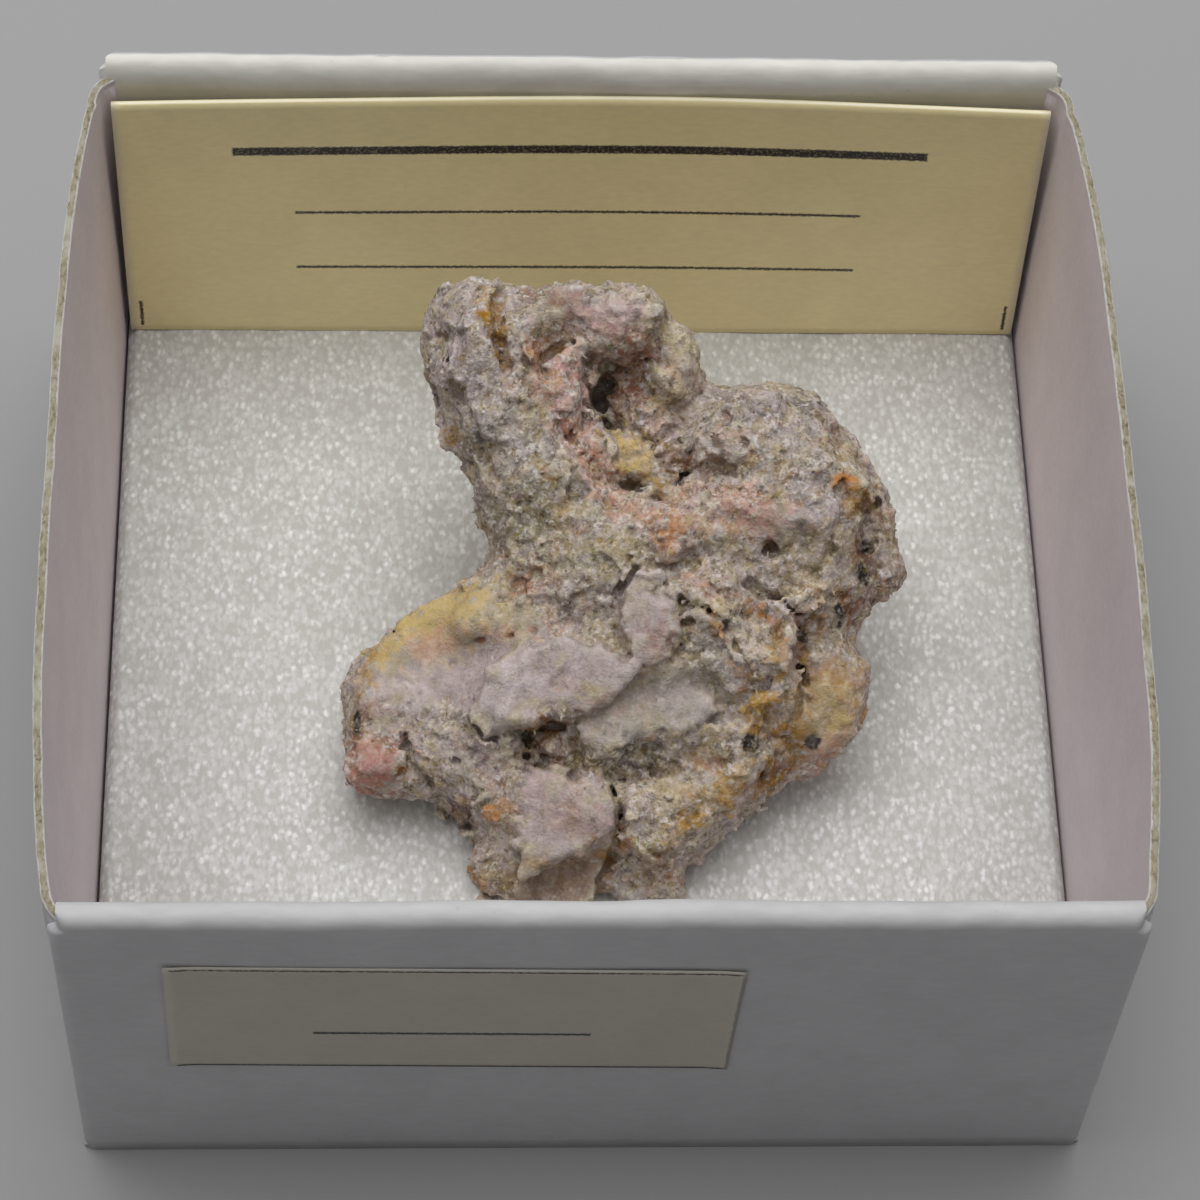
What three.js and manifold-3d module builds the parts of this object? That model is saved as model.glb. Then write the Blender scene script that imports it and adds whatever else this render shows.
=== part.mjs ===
// A smithsonite specimen in its collector's tray: a folded card tray with rolled front and back walls,
// a foam pad, a label card that leans on the back wall, a sticker on the front and the stone on the foam.
// Millimetres, +Z up. The origin is the middle of the tray's underside. The wall with the sticker faces -Y.
import * as THREE from "three";
import { mergeVertices } from "three/addons/utils/BufferGeometryUtils.js";
import { edgeTable, triTable } from "three/addons/objects/MarchingCubes.js";
import { ImprovedNoise } from "three/addons/math/ImprovedNoise.js";
import Module from "manifold-3d";

const wasm = await Module();
wasm.setup();

// ---- driving dimensions ----

const TRAY = {
  width: 40, // outside, at the floor
  depth: 40,
  height: 20, // to the top of the rolled walls
  board: 0.45, // one layer of card
  rolledWall: 1.1, // front and back: two layers with a tab between them
  sideDrop: 0.6, // side walls end this far below the rolled walls
  sideCorner: 1.3, // radius of a side wall's top corners
  shoulder: 0.8, // the rolled top is narrower than the wall from this far below it
  rollInset: 0.5,
  sideBow: 1.0, // side walls belly out along their top edge
  bowFlatness: 3, // a higher power keeps the belly flat for longer before it runs out at the corners
  bowRise: 2, // the belly grows with this power of the height
};
const FOAM = { top: 5.3, clearance: 0.07 };
const LABEL = { width: 38.7, thickness: 0.25, foot: 16.15, lean: 2.15, top: 18.6, bow: 0.5 };
const STICKER = { width: 21.3, height: 8.35, thickness: 0.12, x: -5.35, z: 12.3, turn: 1.3 };

// The stone's own frame: its show face looks along +Z there, +X runs across it and +Y up it.
const STONE = {
  place: new THREE.Vector3(1.4, -1.1, 11.3),
  tilt: new THREE.Euler(THREE.MathUtils.degToRad(30.3), THREE.MathUtils.degToRad(-2.6), 0),
  cell: 0.72, // size of the grid that the surface is drawn on
  foamGap: 0.3,
  low: new THREE.Vector3(-12.2, -15.6, -12.4),
  high: new THREE.Vector3(12.9, 14.0, 5.6),
};

// Outline of the show face, clockwise from the outer top corner of the column.
const OUTLINE = [
  [-7.7, 10.3], [-7.3, 12.1], [-6.3, 12.5], [-4.7, 12.7], [-3.9, 12.3], [-2.7, 12.7], [-1.9, 12.5],
  [-1.2, 12.0], [-0.4, 12.4], [0.9, 12.5], [1.8, 11.8], [2.4, 11.1], [3.1, 9.8], [3.4, 8.9], [4.4, 8.5],
  [5.6, 8.9], [7.1, 8.9], [7.9, 8.0], [9.0, 7.1], [9.5, 6.1], [10.0, 5.2], [10.9, 4.0], [11.4, 2.8],
  [11.6, 0.7], [10.7, 0.2], [10.2, -0.7], [9.2, -1.5], [9.4, -2.3], [10.0, -3.6], [9.7, -4.6], [9.1, -6.0],
  [7.7, -6.9], [6.7, -7.5], [5.4, -8.1], [4.6, -9.1], [3.8, -10.1], [2.9, -11.1], [2.2, -12.3], [0.8, -13.6],
  [-1.6, -14.2], [-4.2, -13.9], [-6.0, -13.0], [-6.4, -11.8], [-6.2, -10.3], [-5.7, -9.4], [-6.5, -9.1],
  [-6.8, -8.1], [-7.8, -7.5], [-10.8, -7.5], [-10.9, -4.0], [-10.4, -2.3], [-9.7, -1.2], [-7.8, 0.0],
  [-5.7, 1.0], [-4.9, 2.2], [-5.6, 2.3], [-5.9, 3.8], [-6.6, 6.3], [-7.2, 6.6], [-7.3, 8.1],
];

// Broken facets of the show face: middle, half sizes, turn in degrees, height, and rise per millimetre
// each way.
const FACETS = [
  { name: "bed", at: [0, 0], half: [14, 16], turn: 0, height: -0.9, rise: [0, 0.02] },
  { name: "column crest", at: [-4.6, 8.4], half: [1.5, 4.0], turn: 18, height: 1.9, rise: [0.05, -0.08] },
  { name: "column flank", at: [-5.2, 8.2], half: [2.3, 4.6], turn: 14, height: 0.9, rise: [0.25, 0] },
  { name: "column root", at: [-3.0, 3.4], half: [2.2, 2.6], turn: 18, height: 2.4, rise: [0.1, -0.05] },
  { name: "crown", at: [-1.0, 11.3], half: [2.8, 1.0], turn: -4, height: 1.3, rise: [-0.1, 0] },
  { name: "crown knob", at: [0.4, 11.4], half: [1.1, 0.9], turn: 0, height: 2.0, rise: [0, 0] },
  { name: "hollow side slope", at: [1.9, 9.3], half: [1.4, 2.4], turn: 22, height: -0.1, rise: [-0.7, 0.15] },
  { name: "shoulder crest", at: [5.6, 5.4], half: [2.3, 2.0], turn: -16, height: 2.3, rise: [-0.06, -0.15] },
  { name: "shoulder", at: [6.3, 4.6], half: [3.6, 3.8], turn: -24, height: 1.3, rise: [-0.1, -0.22] },
  { name: "pink bank", at: [4.0, 3.2], half: [3.0, 1.0], turn: 6, height: 3.1, rise: [0, -0.25] },
  { name: "bank inner end", at: [0.9, 2.3], half: [1.8, 1.2], turn: -28, height: 2.8, rise: [0, -0.1] },
  { name: "right cliff top", at: [9.4, 3.4], half: [1.5, 2.2], turn: 12, height: 0.6, rise: [-0.3, 0] },
  { name: "right cliff foot", at: [10.3, 1.4], half: [1.5, 1.7], turn: 0, height: -0.2, rise: [0, 0] },
  { name: "middle", at: [1.4, 0.4], half: [4.0, 2.3], turn: 0, height: 2.5, rise: [0, 0.05] },
  { name: "middle right", at: [6.5, 0.9], half: [2.9, 1.9], turn: 0, height: 2.0, rise: [-0.25, 0] },
  { name: "lilac finger", at: [1.0, -0.7], half: [0.8, 1.9], turn: 14, height: 3.6, rise: [0, -0.1] },
  { name: "fan top", at: [4.0, -1.5], half: [1.3, 2.6], turn: 34, height: 3.0, rise: [-0.1, 0.1] },
  { name: "fan rib", at: [5.6, -2.2], half: [0.6, 2.9], turn: 36, height: 2.7, rise: [-0.2, 0.1] },
  { name: "fan outer", at: [7.2, -1.1], half: [1.7, 2.4], turn: 30, height: 1.3, rise: [-0.4, 0.1] },
  { name: "lobe", at: [-6.6, -3.4], half: [4.2, 2.6], turn: 24, height: 1.6, rise: [0.12, -0.3] },
  { name: "lobe shoulder", at: [-3.6, 0.0], half: [3.0, 1.4], turn: 20, height: 2.0, rise: [0.1, -0.1] },
  { name: "lilac plate", at: [-2.8, -3.3], half: [2.8, 1.4], turn: 16, height: 3.4, rise: [0.02, -0.12] },
  { name: "lobe foot", at: [-7.0, -6.2], half: [2.9, 1.2], turn: 0, height: 1.8, rise: [0.1, -0.2] },
  { name: "pink knob", at: [-9.6, -6.4], half: [1.2, 1.1], turn: 0, height: 1.6, rise: [0, 0] },
  { name: "grey slab", at: [1.2, -4.5], half: [2.7, 0.9], turn: 24, height: 2.6, rise: [0, -0.3] },
  { name: "slab bed", at: [0.9, -6.3], half: [2.4, 0.9], turn: 12, height: 0.9, rise: [0, 0] },
  { name: "pillar by the pocket", at: [-4.9, -7.0], half: [1.2, 1.7], turn: 0, height: 1.9, rise: [0, 0] },
  { name: "lower plate", at: [-2.2, -8.2], half: [1.9, 1.6], turn: -14, height: 2.9, rise: [0.1, -0.1] },
  { name: "plate below", at: [-2.8, -10.4], half: [2.3, 1.8], turn: 22, height: 1.6, rise: [0, -0.1] },
  { name: "cream bulge", at: [2.8, -7.9], half: [2.6, 1.3], turn: 34, height: 2.5, rise: [-0.1, -0.1] },
  { name: "cream ridge", at: [3.6, -5.6], half: [1.5, 0.6], turn: 8, height: 2.5, rise: [0, 0] },
  { name: "toe", at: [-2.0, -12.0], half: [4.4, 2.6], turn: 0, height: 0.9, rise: [-0.05, 0.1] },
  { name: "lower right lobe", at: [8.0, -4.5], half: [2.0, 2.6], turn: -22, height: 0.5, rise: [0.1, 0.1] },
];
// The underside, as depth below the middle of the stone: the two feet run down to the foam.
const UNDERSIDE = [
  { name: "thin edge", at: [0, 0], half: [14, 16], turn: 0, height: 2.6, rise: [0, 0] },
  { name: "body", at: [1.6, 1.2], half: [5.6, 6.4], turn: 0, height: 6.0, rise: [0, 0.1] },
  { name: "under the column", at: [-3.6, 8.2], half: [2.3, 3.2], turn: 14, height: 4.2, rise: [0.3, 0] },
  { name: "under the shoulder", at: [7.0, 3.6], half: [2.8, 3.2], turn: 0, height: 5.0, rise: [-0.2, 0] },
  { name: "rear foot", at: [2.0, 5.2], half: [3.6, 2.8], turn: 10, height: 11.0, rise: [0, 0] },
  { name: "front foot", at: [-1.4, -10.0], half: [4.0, 3.8], turn: 0, height: 6.0, rise: [0, 0] },
];
// The outline is let out to allow for the rounded rim. Below a height it draws in by a share of the depth.
const SIDE = { letOut: 0.35, taperFrom: -1.2, taper: 0.34 };
const STEEPNESS = 2.8; // how fast a facet falls away past its edge

// Hollows that undercut the facets around them: middle and half sizes, with the turn in degrees.
const HOLLOWS = [
  { name: "deep hollow", at: [0.1, 7.4, -0.6], half: [1.0, 2.3, 3.6], turn: -16 },
  { name: "hollow wall", at: [0.9, 7.6, 1.4], half: [1.1, 2.4, 2.6], turn: -10 },
  { name: "hollow mouth", at: [1.6, 5.4, 2.4], half: [2.0, 1.3, 2.6], turn: -14 },
  { name: "right pocket", at: [3.3, 5.3, 1.6], half: [1.2, 0.7, 1.7], turn: 0 },
  { name: "pocket under the plate", at: [-2.8, -6.0, 1.4], half: [1.1, 1.6, 2.2], turn: 0 },
  { name: "recess under the slab", at: [0.7, -6.3, 2.2], half: [2.2, 0.8, 1.3], turn: 14 },
  { name: "gap beside the fan", at: [6.9, -3.9, 0.2], half: [0.6, 1.6, 1.7], turn: -16 },
  { name: "crack beside the lower plate", at: [-0.1, -9.3, 2.0], half: [0.35, 1.8, 1.5], turn: 4 },
];
const DRUSE = [
  { name: "yellow druse", at: [0.9, 5.4, -0.6], half: [1.3, 1.2, 1.5], turn: 20 },
  { name: "druse in the pocket", at: [3.4, 5.5, -0.2], half: [1.0, 0.7, 1.3], turn: 0 },
];
const BLEND = { facets: 0.3, rim: 0.9, hollows: 0.3, druse: 0.3 };
// Lumpiness of the broken surface: wavelength and height of each layer of lumps.
const ROUGHNESS = [
  { wave: 3.9, height: 0.5, seed: 3.1 },
  { wave: 1.9, height: 0.26, seed: 17.7 },
];

// ---- small tools ----

const material = (color, roughness) => new THREE.MeshStandardMaterial({ color, roughness, metalness: 0 });

function solidOf(geometry) {
  const bare = geometry.index ? geometry.clone() : geometry;
  bare.deleteAttribute("normal");
  bare.deleteAttribute("uv");
  const merged = mergeVertices(bare, 1e-4);
  return new wasm.Manifold(new wasm.Mesh({
    numProp: 3,
    vertProperties: new Float32Array(merged.attributes.position.array),
    triVerts: new Uint32Array(merged.index.array),
  }));
}

function geometryOf(solid) {
  const { vertProperties, triVerts } = solid.getMesh();
  const geometry = new THREE.BufferGeometry();
  geometry.setAttribute("position", new THREE.BufferAttribute(vertProperties, 3));
  geometry.setIndex(new THREE.BufferAttribute(triVerts, 1));
  geometry.computeVertexNormals();
  return geometry;
}

// Moves every vertex of a geometry to where bend(vertex) puts it.
function bent(geometry, bend) {
  const positions = geometry.attributes.position;
  const point = new THREE.Vector3();
  for (let i = 0; i < positions.count; i++) {
    bend(point.fromBufferAttribute(positions, i));
    positions.setXYZ(i, point.x, point.y, point.z);
  }
  return geometry;
}

function named(name, geometry, look) {
  const mesh = new THREE.Mesh(geometry, look);
  mesh.name = name;
  return mesh;
}

// ---- tray ----

// A side wall of one card layer: its top corners are rounded, and it bellies out between them.
function sideWall(side) {
  const { width, depth, height, board, sideDrop, sideCorner, sideBow, bowFlatness, bowRise } = TRAY;
  const top = height - sideDrop;
  const wall = new THREE.BoxGeometry(board, 2, 1, 1, 28, 3).translate(side * (width - board) / 2, 0, 0.5);
  return bent(wall, (p) => {
    p.y = Math.sin((p.y * Math.PI) / 2) * depth / 2;
    const intoCorner = Math.max(0, Math.abs(p.y) - (depth / 2 - sideCorner));
    const topHere = top - sideCorner + Math.sqrt(Math.max(0, sideCorner ** 2 - intoCorner ** 2));
    const along = p.y / (depth / 2);
    p.x += side * sideBow * (1 - Math.abs(along) ** bowFlatness) * p.z ** bowRise;
    p.z *= topHere;
  });
}

// A front or back wall: the card goes up the outside, rolls over the top and comes down inside.
function rolledWall(side) {
  const { width, depth, height, rolledWall: thick, rollInset, shoulder } = TRAY;
  const middle = side * (depth - thick) / 2;
  const tall = height - shoulder;
  const panel = new THREE.BoxGeometry(width, thick, tall).translate(0, middle, tall / 2);
  const profile = new THREE.Shape();
  profile.moveTo(-thick / 2, 0);
  profile.lineTo(thick / 2, 0);
  profile.lineTo(thick / 2, height - thick / 2);
  profile.absarc(0, height - thick / 2, thick / 2, 0, Math.PI, false);
  const length = width - 2 * rollInset;
  const roll = new THREE.ExtrudeGeometry(profile, { depth: length, bevelEnabled: false, curveSegments: 8 });
  roll.rotateX(Math.PI / 2).rotateZ(Math.PI / 2).translate(-length / 2, middle, 0);
  return solidOf(panel).add(solidOf(roll));
}

function trayMesh() {
  const { width, depth, board } = TRAY;
  const floor = new THREE.BoxGeometry(width, depth, board).translate(0, 0, board / 2);
  let solid = solidOf(floor);
  for (const side of [-1, 1]) solid = solid.add(solidOf(sideWall(side))).add(rolledWall(side));
  return named("tray", geometryOf(solid), material(0xd9d6d6, 0.75));
}

// ---- foam, label and sticker ----

function foamMesh() {
  const { width, depth, board, rolledWall: thick } = TRAY;
  const across = width - 2 * (board + FOAM.clearance);
  const deep = depth - 2 * (thick + FOAM.clearance);
  const pad = new THREE.BoxGeometry(across, deep, FOAM.top - board).translate(0, 0, (FOAM.top + board) / 2);
  return named("foam_pad", pad, material(0xe6e6e2, 0.45));
}

// The card stands on the foam and leans on the back wall. Its middle is pressed back, its ends come forward.
function labelMesh() {
  const rise = LABEL.top - FOAM.top;
  const card = new THREE.BoxGeometry(LABEL.width, LABEL.thickness, 1, 12, 1, 2).translate(0, 0, 0.5);
  bent(card, (p) => {
    const across = p.x / (LABEL.width / 2);
    p.y += LABEL.foot + LABEL.lean * p.z + LABEL.bow * p.z * (0.5 - across ** 2);
    p.z = FOAM.top + rise * p.z;
  });
  return named("label_card", card, material(0xd8cf9f, 0.6));
}

function stickerMesh() {
  const paper = new THREE.BoxGeometry(STICKER.width, STICKER.thickness, STICKER.height);
  const mesh = named("number_sticker", paper, material(0xd6d0bd, 0.6));
  mesh.position.set(STICKER.x, -(TRAY.depth + STICKER.thickness) / 2, STICKER.z);
  mesh.rotation.y = THREE.MathUtils.degToRad(STICKER.turn);
  return mesh;
}

// ---- stone ----

// Offset of (x, y) from a feature's middle, along the feature's own turned axes.
function turnedOffset({ at, turn }, x, y) {
  const angle = THREE.MathUtils.degToRad(turn);
  const dx = x - at[0];
  const dy = y - at[1];
  return [dx * Math.cos(angle) + dy * Math.sin(angle), dy * Math.cos(angle) - dx * Math.sin(angle)];
}

// Distance from p to an ellipsoid, near enough for blending: below zero inside.
function lumpDistance(lump, p) {
  const { at, half } = lump;
  const local = [...turnedOffset(lump, p.x, p.y), p.z - at[2]];
  const k0 = Math.hypot(...local.map((v, i) => v / half[i]));
  const k1 = Math.hypot(...local.map((v, i) => v / half[i] ** 2));
  return k1 < 1e-9 ? -Math.min(...half) : (k0 * (k0 - 1)) / k1;
}

function smoothMin(a, b, k) {
  const h = Math.max(k - Math.abs(a - b), 0) / k;
  return Math.min(a, b) - (h * h * k) / 4;
}
const smoothMax = (a, b, k) => -smoothMin(-a, -b, k);

// Height of a patchwork of facets over (x, y). Each is a tilted flat in its ellipse and falls away past it.
const reliefAt = (facets, x, y) => facets.reduce((highest, facet) => {
  const [u, v] = turnedOffset(facet, x, y);
  const past = Math.max(0, Math.hypot(u / facet.half[0], v / facet.half[1]) - 1) * Math.min(...facet.half);
  const tilt = facet.rise[0] * (x - facet.at[0]) + facet.rise[1] * (y - facet.at[1]);
  return smoothMax(highest, facet.height + tilt - STEEPNESS * past, BLEND.facets);
}, -1e3);

// Distance from (x, y) to the outline: below zero inside.
function outlineDistance(x, y) {
  let nearest = Infinity;
  let inside = false;
  OUTLINE.forEach(([x1, y1], i) => {
    const [x0, y0] = OUTLINE[(i + OUTLINE.length - 1) % OUTLINE.length];
    const [ex, ey, px, py] = [x1 - x0, y1 - y0, x - x0, y - y0];
    const along = THREE.MathUtils.clamp((px * ex + py * ey) / (ex * ex + ey * ey), 0, 1);
    nearest = Math.min(nearest, Math.hypot(px - along * ex, py - along * ey));
    if (y0 > y !== y1 > y && px < (ex * py) / ey) inside = !inside;
  });
  return inside ? -nearest : nearest;
}

const noise = new ImprovedNoise();
const roughnessAt = (p) => ROUGHNESS.reduce((sum, { wave, height, seed }) =>
  sum + height * noise.noise(p.x / wave + seed, p.y / wave - seed, p.z / wave), 0);

// Distance from p to the stone's surface, near enough to draw it: below zero inside.
function stoneDistance(p) {
  const side = outlineDistance(p.x, p.y) - SIDE.letOut + SIDE.taper * Math.max(0, SIDE.taperFrom - p.z);
  const above = (p.z - reliefAt(FACETS, p.x, p.y)) / 2;
  const below = (-p.z - reliefAt(UNDERSIDE, p.x, p.y)) / 2;
  let d = smoothMax(smoothMax(side, above, BLEND.rim), below, BLEND.rim);
  for (const hollow of HOLLOWS) d = smoothMax(d, -lumpDistance(hollow, p), BLEND.hollows);
  for (const lump of DRUSE) d = smoothMin(d, lumpDistance(lump, p), BLEND.druse);
  return d - roughnessAt(p);
}

// Corners of a grid cell and the corner pairs of its edges, in the order of the marching cubes tables.
const CORNERS = [
  [0, 0, 0], [1, 0, 0], [1, 1, 0], [0, 1, 0],
  [0, 0, 1], [1, 0, 1], [1, 1, 1], [0, 1, 1],
];
const EDGES = [
  [0, 1], [1, 2], [3, 2], [0, 3],
  [4, 5], [5, 6], [7, 6], [4, 7],
  [0, 4], [1, 5], [2, 6], [3, 7],
];
// A crossing stays this share of a cell away from a corner, so no triangle is a sliver.
const NEAREST_CORNER = 0.12;

// Draws the surface where distance(point) is zero as a closed triangle mesh.
function surfaceOf(distance, low, high, cell) {
  const [nx, ny, nz] = ["x", "y", "z"].map((axis) => Math.ceil((high[axis] - low[axis]) / cell));
  const index = (i, j, k) => (k * (ny + 1) + j) * (nx + 1) + i;
  const pointAt = (i, j, k) => new THREE.Vector3(low.x + i * cell, low.y + j * cell, low.z + k * cell);
  const field = new Float32Array((nx + 1) * (ny + 1) * (nz + 1));
  for (let k = 0; k <= nz; k++)
    for (let j = 0; j <= ny; j++)
      for (let i = 0; i <= nx; i++) field[index(i, j, k)] = distance(pointAt(i, j, k));

  const positions = [];
  const faces = [];
  const made = new Map();
  // The vertex where the surface crosses the grid line from one grid point to the next, made once.
  const crossing = (one, two) => {
    const [a, b] = [index(...one), index(...two)];
    const key = Math.min(a, b) * field.length + Math.max(a, b);
    if (!made.has(key)) {
      const share = field[a] / (field[a] - field[b]);
      const kept = THREE.MathUtils.clamp(share, NEAREST_CORNER, 1 - NEAREST_CORNER);
      positions.push(...pointAt(...one).lerp(pointAt(...two), kept));
      made.set(key, positions.length / 3 - 1);
    }
    return made.get(key);
  };
  const drawCell = (i, j, k) => {
    const corners = CORNERS.map(([x, y, z]) => [i + x, j + y, k + z]);
    const isInside = (corner) => field[index(...corner)] < 0;
    const inside = corners.reduce((bits, corner, n) => bits | (isInside(corner) ? 1 << n : 0), 0);
    if (!edgeTable[inside]) return;
    for (let t = inside * 16; triTable[t] !== -1; t += 3) {
      const ends = [t, t + 1, t + 2].map((n) => EDGES[triTable[n]]);
      const [a, b, c] = ends.map(([from, to]) => crossing(corners[from], corners[to]));
      faces.push(a, c, b);
    }
  };
  for (let k = 0; k < nz; k++)
    for (let j = 0; j < ny; j++)
      for (let i = 0; i < nx; i++) drawCell(i, j, k);
  const geometry = new THREE.BufferGeometry();
  geometry.setAttribute("position", new THREE.BufferAttribute(new Float32Array(positions), 3));
  geometry.setIndex(faces);
  return geometry;
}

// The largest closed body of a solid: crumbs of the rough surface that float free are left out.
const largest = (solid) => solid.decompose().reduce((a, b) => (b.volume() > a.volume() ? b : a));

// The stone is cut off flat by a block as wide as this, where it lies on the foam.
const BED = 60;

function stoneMesh() {
  const rough = surfaceOf(stoneDistance, STONE.low, STONE.high, STONE.cell);
  const placed = new THREE.Matrix4().makeRotationFromEuler(STONE.tilt).setPosition(STONE.place);
  const bed = new THREE.BoxGeometry(BED, BED, BED).translate(0, 0, FOAM.top + STONE.foamGap - BED / 2);
  bed.applyMatrix4(placed.clone().invert());
  const stone = largest(solidOf(rough).subtract(solidOf(bed)));
  const mesh = named("smithsonite", geometryOf(stone), material(0xc2b0ad, 0.85));
  mesh.position.copy(STONE.place);
  mesh.rotation.copy(STONE.tilt);
  return mesh;
}

const specimen = new THREE.Group();
specimen.add(trayMesh(), foamMesh(), labelMesh(), stickerMesh(), stoneMesh());
export default specimen;
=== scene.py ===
"""A smithsonite specimen in its collector's card tray, with a foam pad, a leaning label card and a sticker.

Lengths in this file are millimetres and become metres when a mesh is made. The sticker's wall faces -Y.
"""

import math

import bpy
import numpy as np
import openvdb
from mathutils import Matrix, Vector, noise


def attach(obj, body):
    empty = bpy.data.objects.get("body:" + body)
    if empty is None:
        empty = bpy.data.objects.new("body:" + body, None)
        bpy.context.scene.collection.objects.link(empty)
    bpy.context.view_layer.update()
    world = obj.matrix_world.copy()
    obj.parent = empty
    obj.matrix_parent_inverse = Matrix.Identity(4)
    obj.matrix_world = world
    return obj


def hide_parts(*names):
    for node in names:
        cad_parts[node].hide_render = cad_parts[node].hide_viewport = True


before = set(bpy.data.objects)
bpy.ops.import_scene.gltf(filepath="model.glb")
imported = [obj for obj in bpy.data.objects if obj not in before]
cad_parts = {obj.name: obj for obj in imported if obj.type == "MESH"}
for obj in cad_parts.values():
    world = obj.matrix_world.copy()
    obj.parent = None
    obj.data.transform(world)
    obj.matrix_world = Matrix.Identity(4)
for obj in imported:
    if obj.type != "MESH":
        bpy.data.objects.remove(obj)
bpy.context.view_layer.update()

MM = 0.001
rng = np.random.default_rng(1841)


# ---- camera and lamp ----

CAMERA = {
    "place": (-6.17, -75.34, 138.41),
    "down": 59.606, "turn": 5.186, "roll": 4.603,  # degrees
    "lens": 110.03, "sensor": 36, "near": 10, "far": 5000,
}


def aim_camera():
    """The camera, turned by its three angles."""
    down, turn, roll = (math.radians(CAMERA[name]) for name in ("down", "turn", "roll"))
    forward = Vector((math.sin(turn) * math.cos(down), math.cos(turn) * math.cos(down), -math.sin(down)))
    level = Vector((math.cos(turn), -math.sin(turn), 0))
    upright = level.cross(forward)
    right = level * math.cos(roll) + upright * math.sin(roll)
    up = upright * math.cos(roll) - level * math.sin(roll)
    data = bpy.data.cameras.new("camera")
    data.lens = CAMERA["lens"]
    data.sensor_width = CAMERA["sensor"]
    data.clip_start = CAMERA["near"] * MM
    data.clip_end = CAMERA["far"] * MM
    camera = bpy.data.objects.new("camera", data)
    camera.matrix_world = Matrix((right, up, -forward)).transposed().to_4x4()
    camera.location = Vector(CAMERA["place"]) * MM
    bpy.context.scene.collection.objects.link(camera)
    bpy.context.scene.camera = camera


def soft_light(name, place, aim, width, height, watts):
    """A rectangular lamp that faces a point."""
    data = bpy.data.lights.new(name, "AREA")
    data.shape = "RECTANGLE"
    data.size = width * MM
    data.size_y = height * MM
    data.energy = watts
    lamp = bpy.data.objects.new(name, data)
    lamp.location = Vector(place) * MM
    lamp.rotation_euler = (Vector(aim) - Vector(place)).to_track_quat("-Z", "Y").to_euler()
    bpy.context.scene.collection.objects.link(lamp)


# ---- materials: small tools ----

def paint(red, green, blue, gain=1.0):
    """A screen colour, 0 to 255, as the linear colour that a shader takes."""
    share = np.array([red, green, blue]) / 255
    linear = np.where(share <= 0.04045, share / 12.92, ((share + 0.055) / 1.055) ** 2.4)
    return tuple(np.minimum(linear * gain, 1.0)) + (1.0,)


class Recipe:
    """Adds the nodes of one material or shared effect."""

    def __init__(self, tree):
        self.tree = tree

    def outputs(self, kind, feeds=None, **settings):
        """A new node's outputs. A feed is another node's output, or a plain value."""
        node = self.tree.nodes.new("ShaderNode" + kind)
        for name, value in settings.items():
            setattr(node, name, value)
        for key, value in (feeds or {}).items():
            if isinstance(value, bpy.types.NodeSocket):
                self.tree.links.new(value, node.inputs[key])
            else:
                node.inputs[key].default_value = value
        return node.outputs

    def add(self, kind, feeds=None, out=0, **settings):
        """A new node's one output: its first, or the one that out names."""
        return self.outputs(kind, feeds, **settings)[out]

    def mask(self, name):
        """A piece's own mask, or its tint."""
        return self.add("Attribute", out="Color" if name == "tint" else "Fac", attribute_name=name)

    def math(self, operation, first, second=0.0):
        return self.add("Math", {0: first, 1: second}, operation=operation)

    def mix(self, share, first, second, blend="MIX"):
        """A colour that is first where share is 0 and second where it is 1."""
        feeds = {0: share, 6: first, 7: second}
        return self.add("Mix", feeds, out=2, data_type="RGBA", blend_type=blend)

    def stretch(self, value, low, high, to_low=0.0, to_high=1.0):
        """The value's range from low to high, spread from to_low to to_high."""
        return self.add("MapRange", {0: value, 1: low, 2: high, 3: to_low, 4: to_high})

    def noise(self, place, size, detail=3.0, rough=0.55, stretch=None):
        """Cloudy noise whose lumps are about size millimetres."""
        if stretch:
            place = self.add("Mapping", {"Vector": place, "Scale": stretch})
        feeds = {"Vector": place, "Scale": 1 / (size * MM), "Detail": detail, "Roughness": rough}
        return self.add("TexNoise", feeds)

    def cells(self, place, size):
        """Random cells about size millimetres across: the outputs of their node."""
        return self.outputs("TexVoronoi", {"Vector": place, "Scale": 1 / (size * MM)})

    def shared(self, group, feeds):
        """A shared effect with its own values: its outputs."""
        # The group has to be in its node before the node has inputs to feed.
        return self.outputs("Group", feeds, node_tree=group)

    def bump(self, height, strength, depth):
        return self.add("Bump", {"Strength": strength, "Distance": depth * MM, "Height": height})

    def surface(self, **feeds):
        """Ends a material with its surface shader; a name's underscores stand for spaces."""
        shader = self.add("BsdfPrincipled", {key.replace("_", " "): value for key, value in feeds.items()})
        self.outputs("OutputMaterial", {"Surface": shader})


def effect(name, inputs, outputs):
    """An empty shared effect with named inputs and outputs: its group, recipe, inputs and output node."""
    group = bpy.data.node_groups.new(name, "ShaderNodeTree")
    for label, (kind, value) in inputs.items():
        socket = group.interface.new_socket(label, in_out="INPUT", socket_type="NodeSocket" + kind)
        if value is not None:
            socket.default_value = value
    for label, kind in outputs.items():
        group.interface.new_socket(label, in_out="OUTPUT", socket_type="NodeSocket" + kind)
    recipe = Recipe(group)
    given = group.nodes.new("NodeGroupInput").outputs
    result = group.nodes.new("NodeGroupOutput")
    return group, recipe, given, result


def material(name):
    """An empty material and the recipe that fills it."""
    made = bpy.data.materials.new(name)
    made.use_nodes = True
    made.node_tree.nodes.clear()
    return made, Recipe(made.node_tree)


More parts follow.
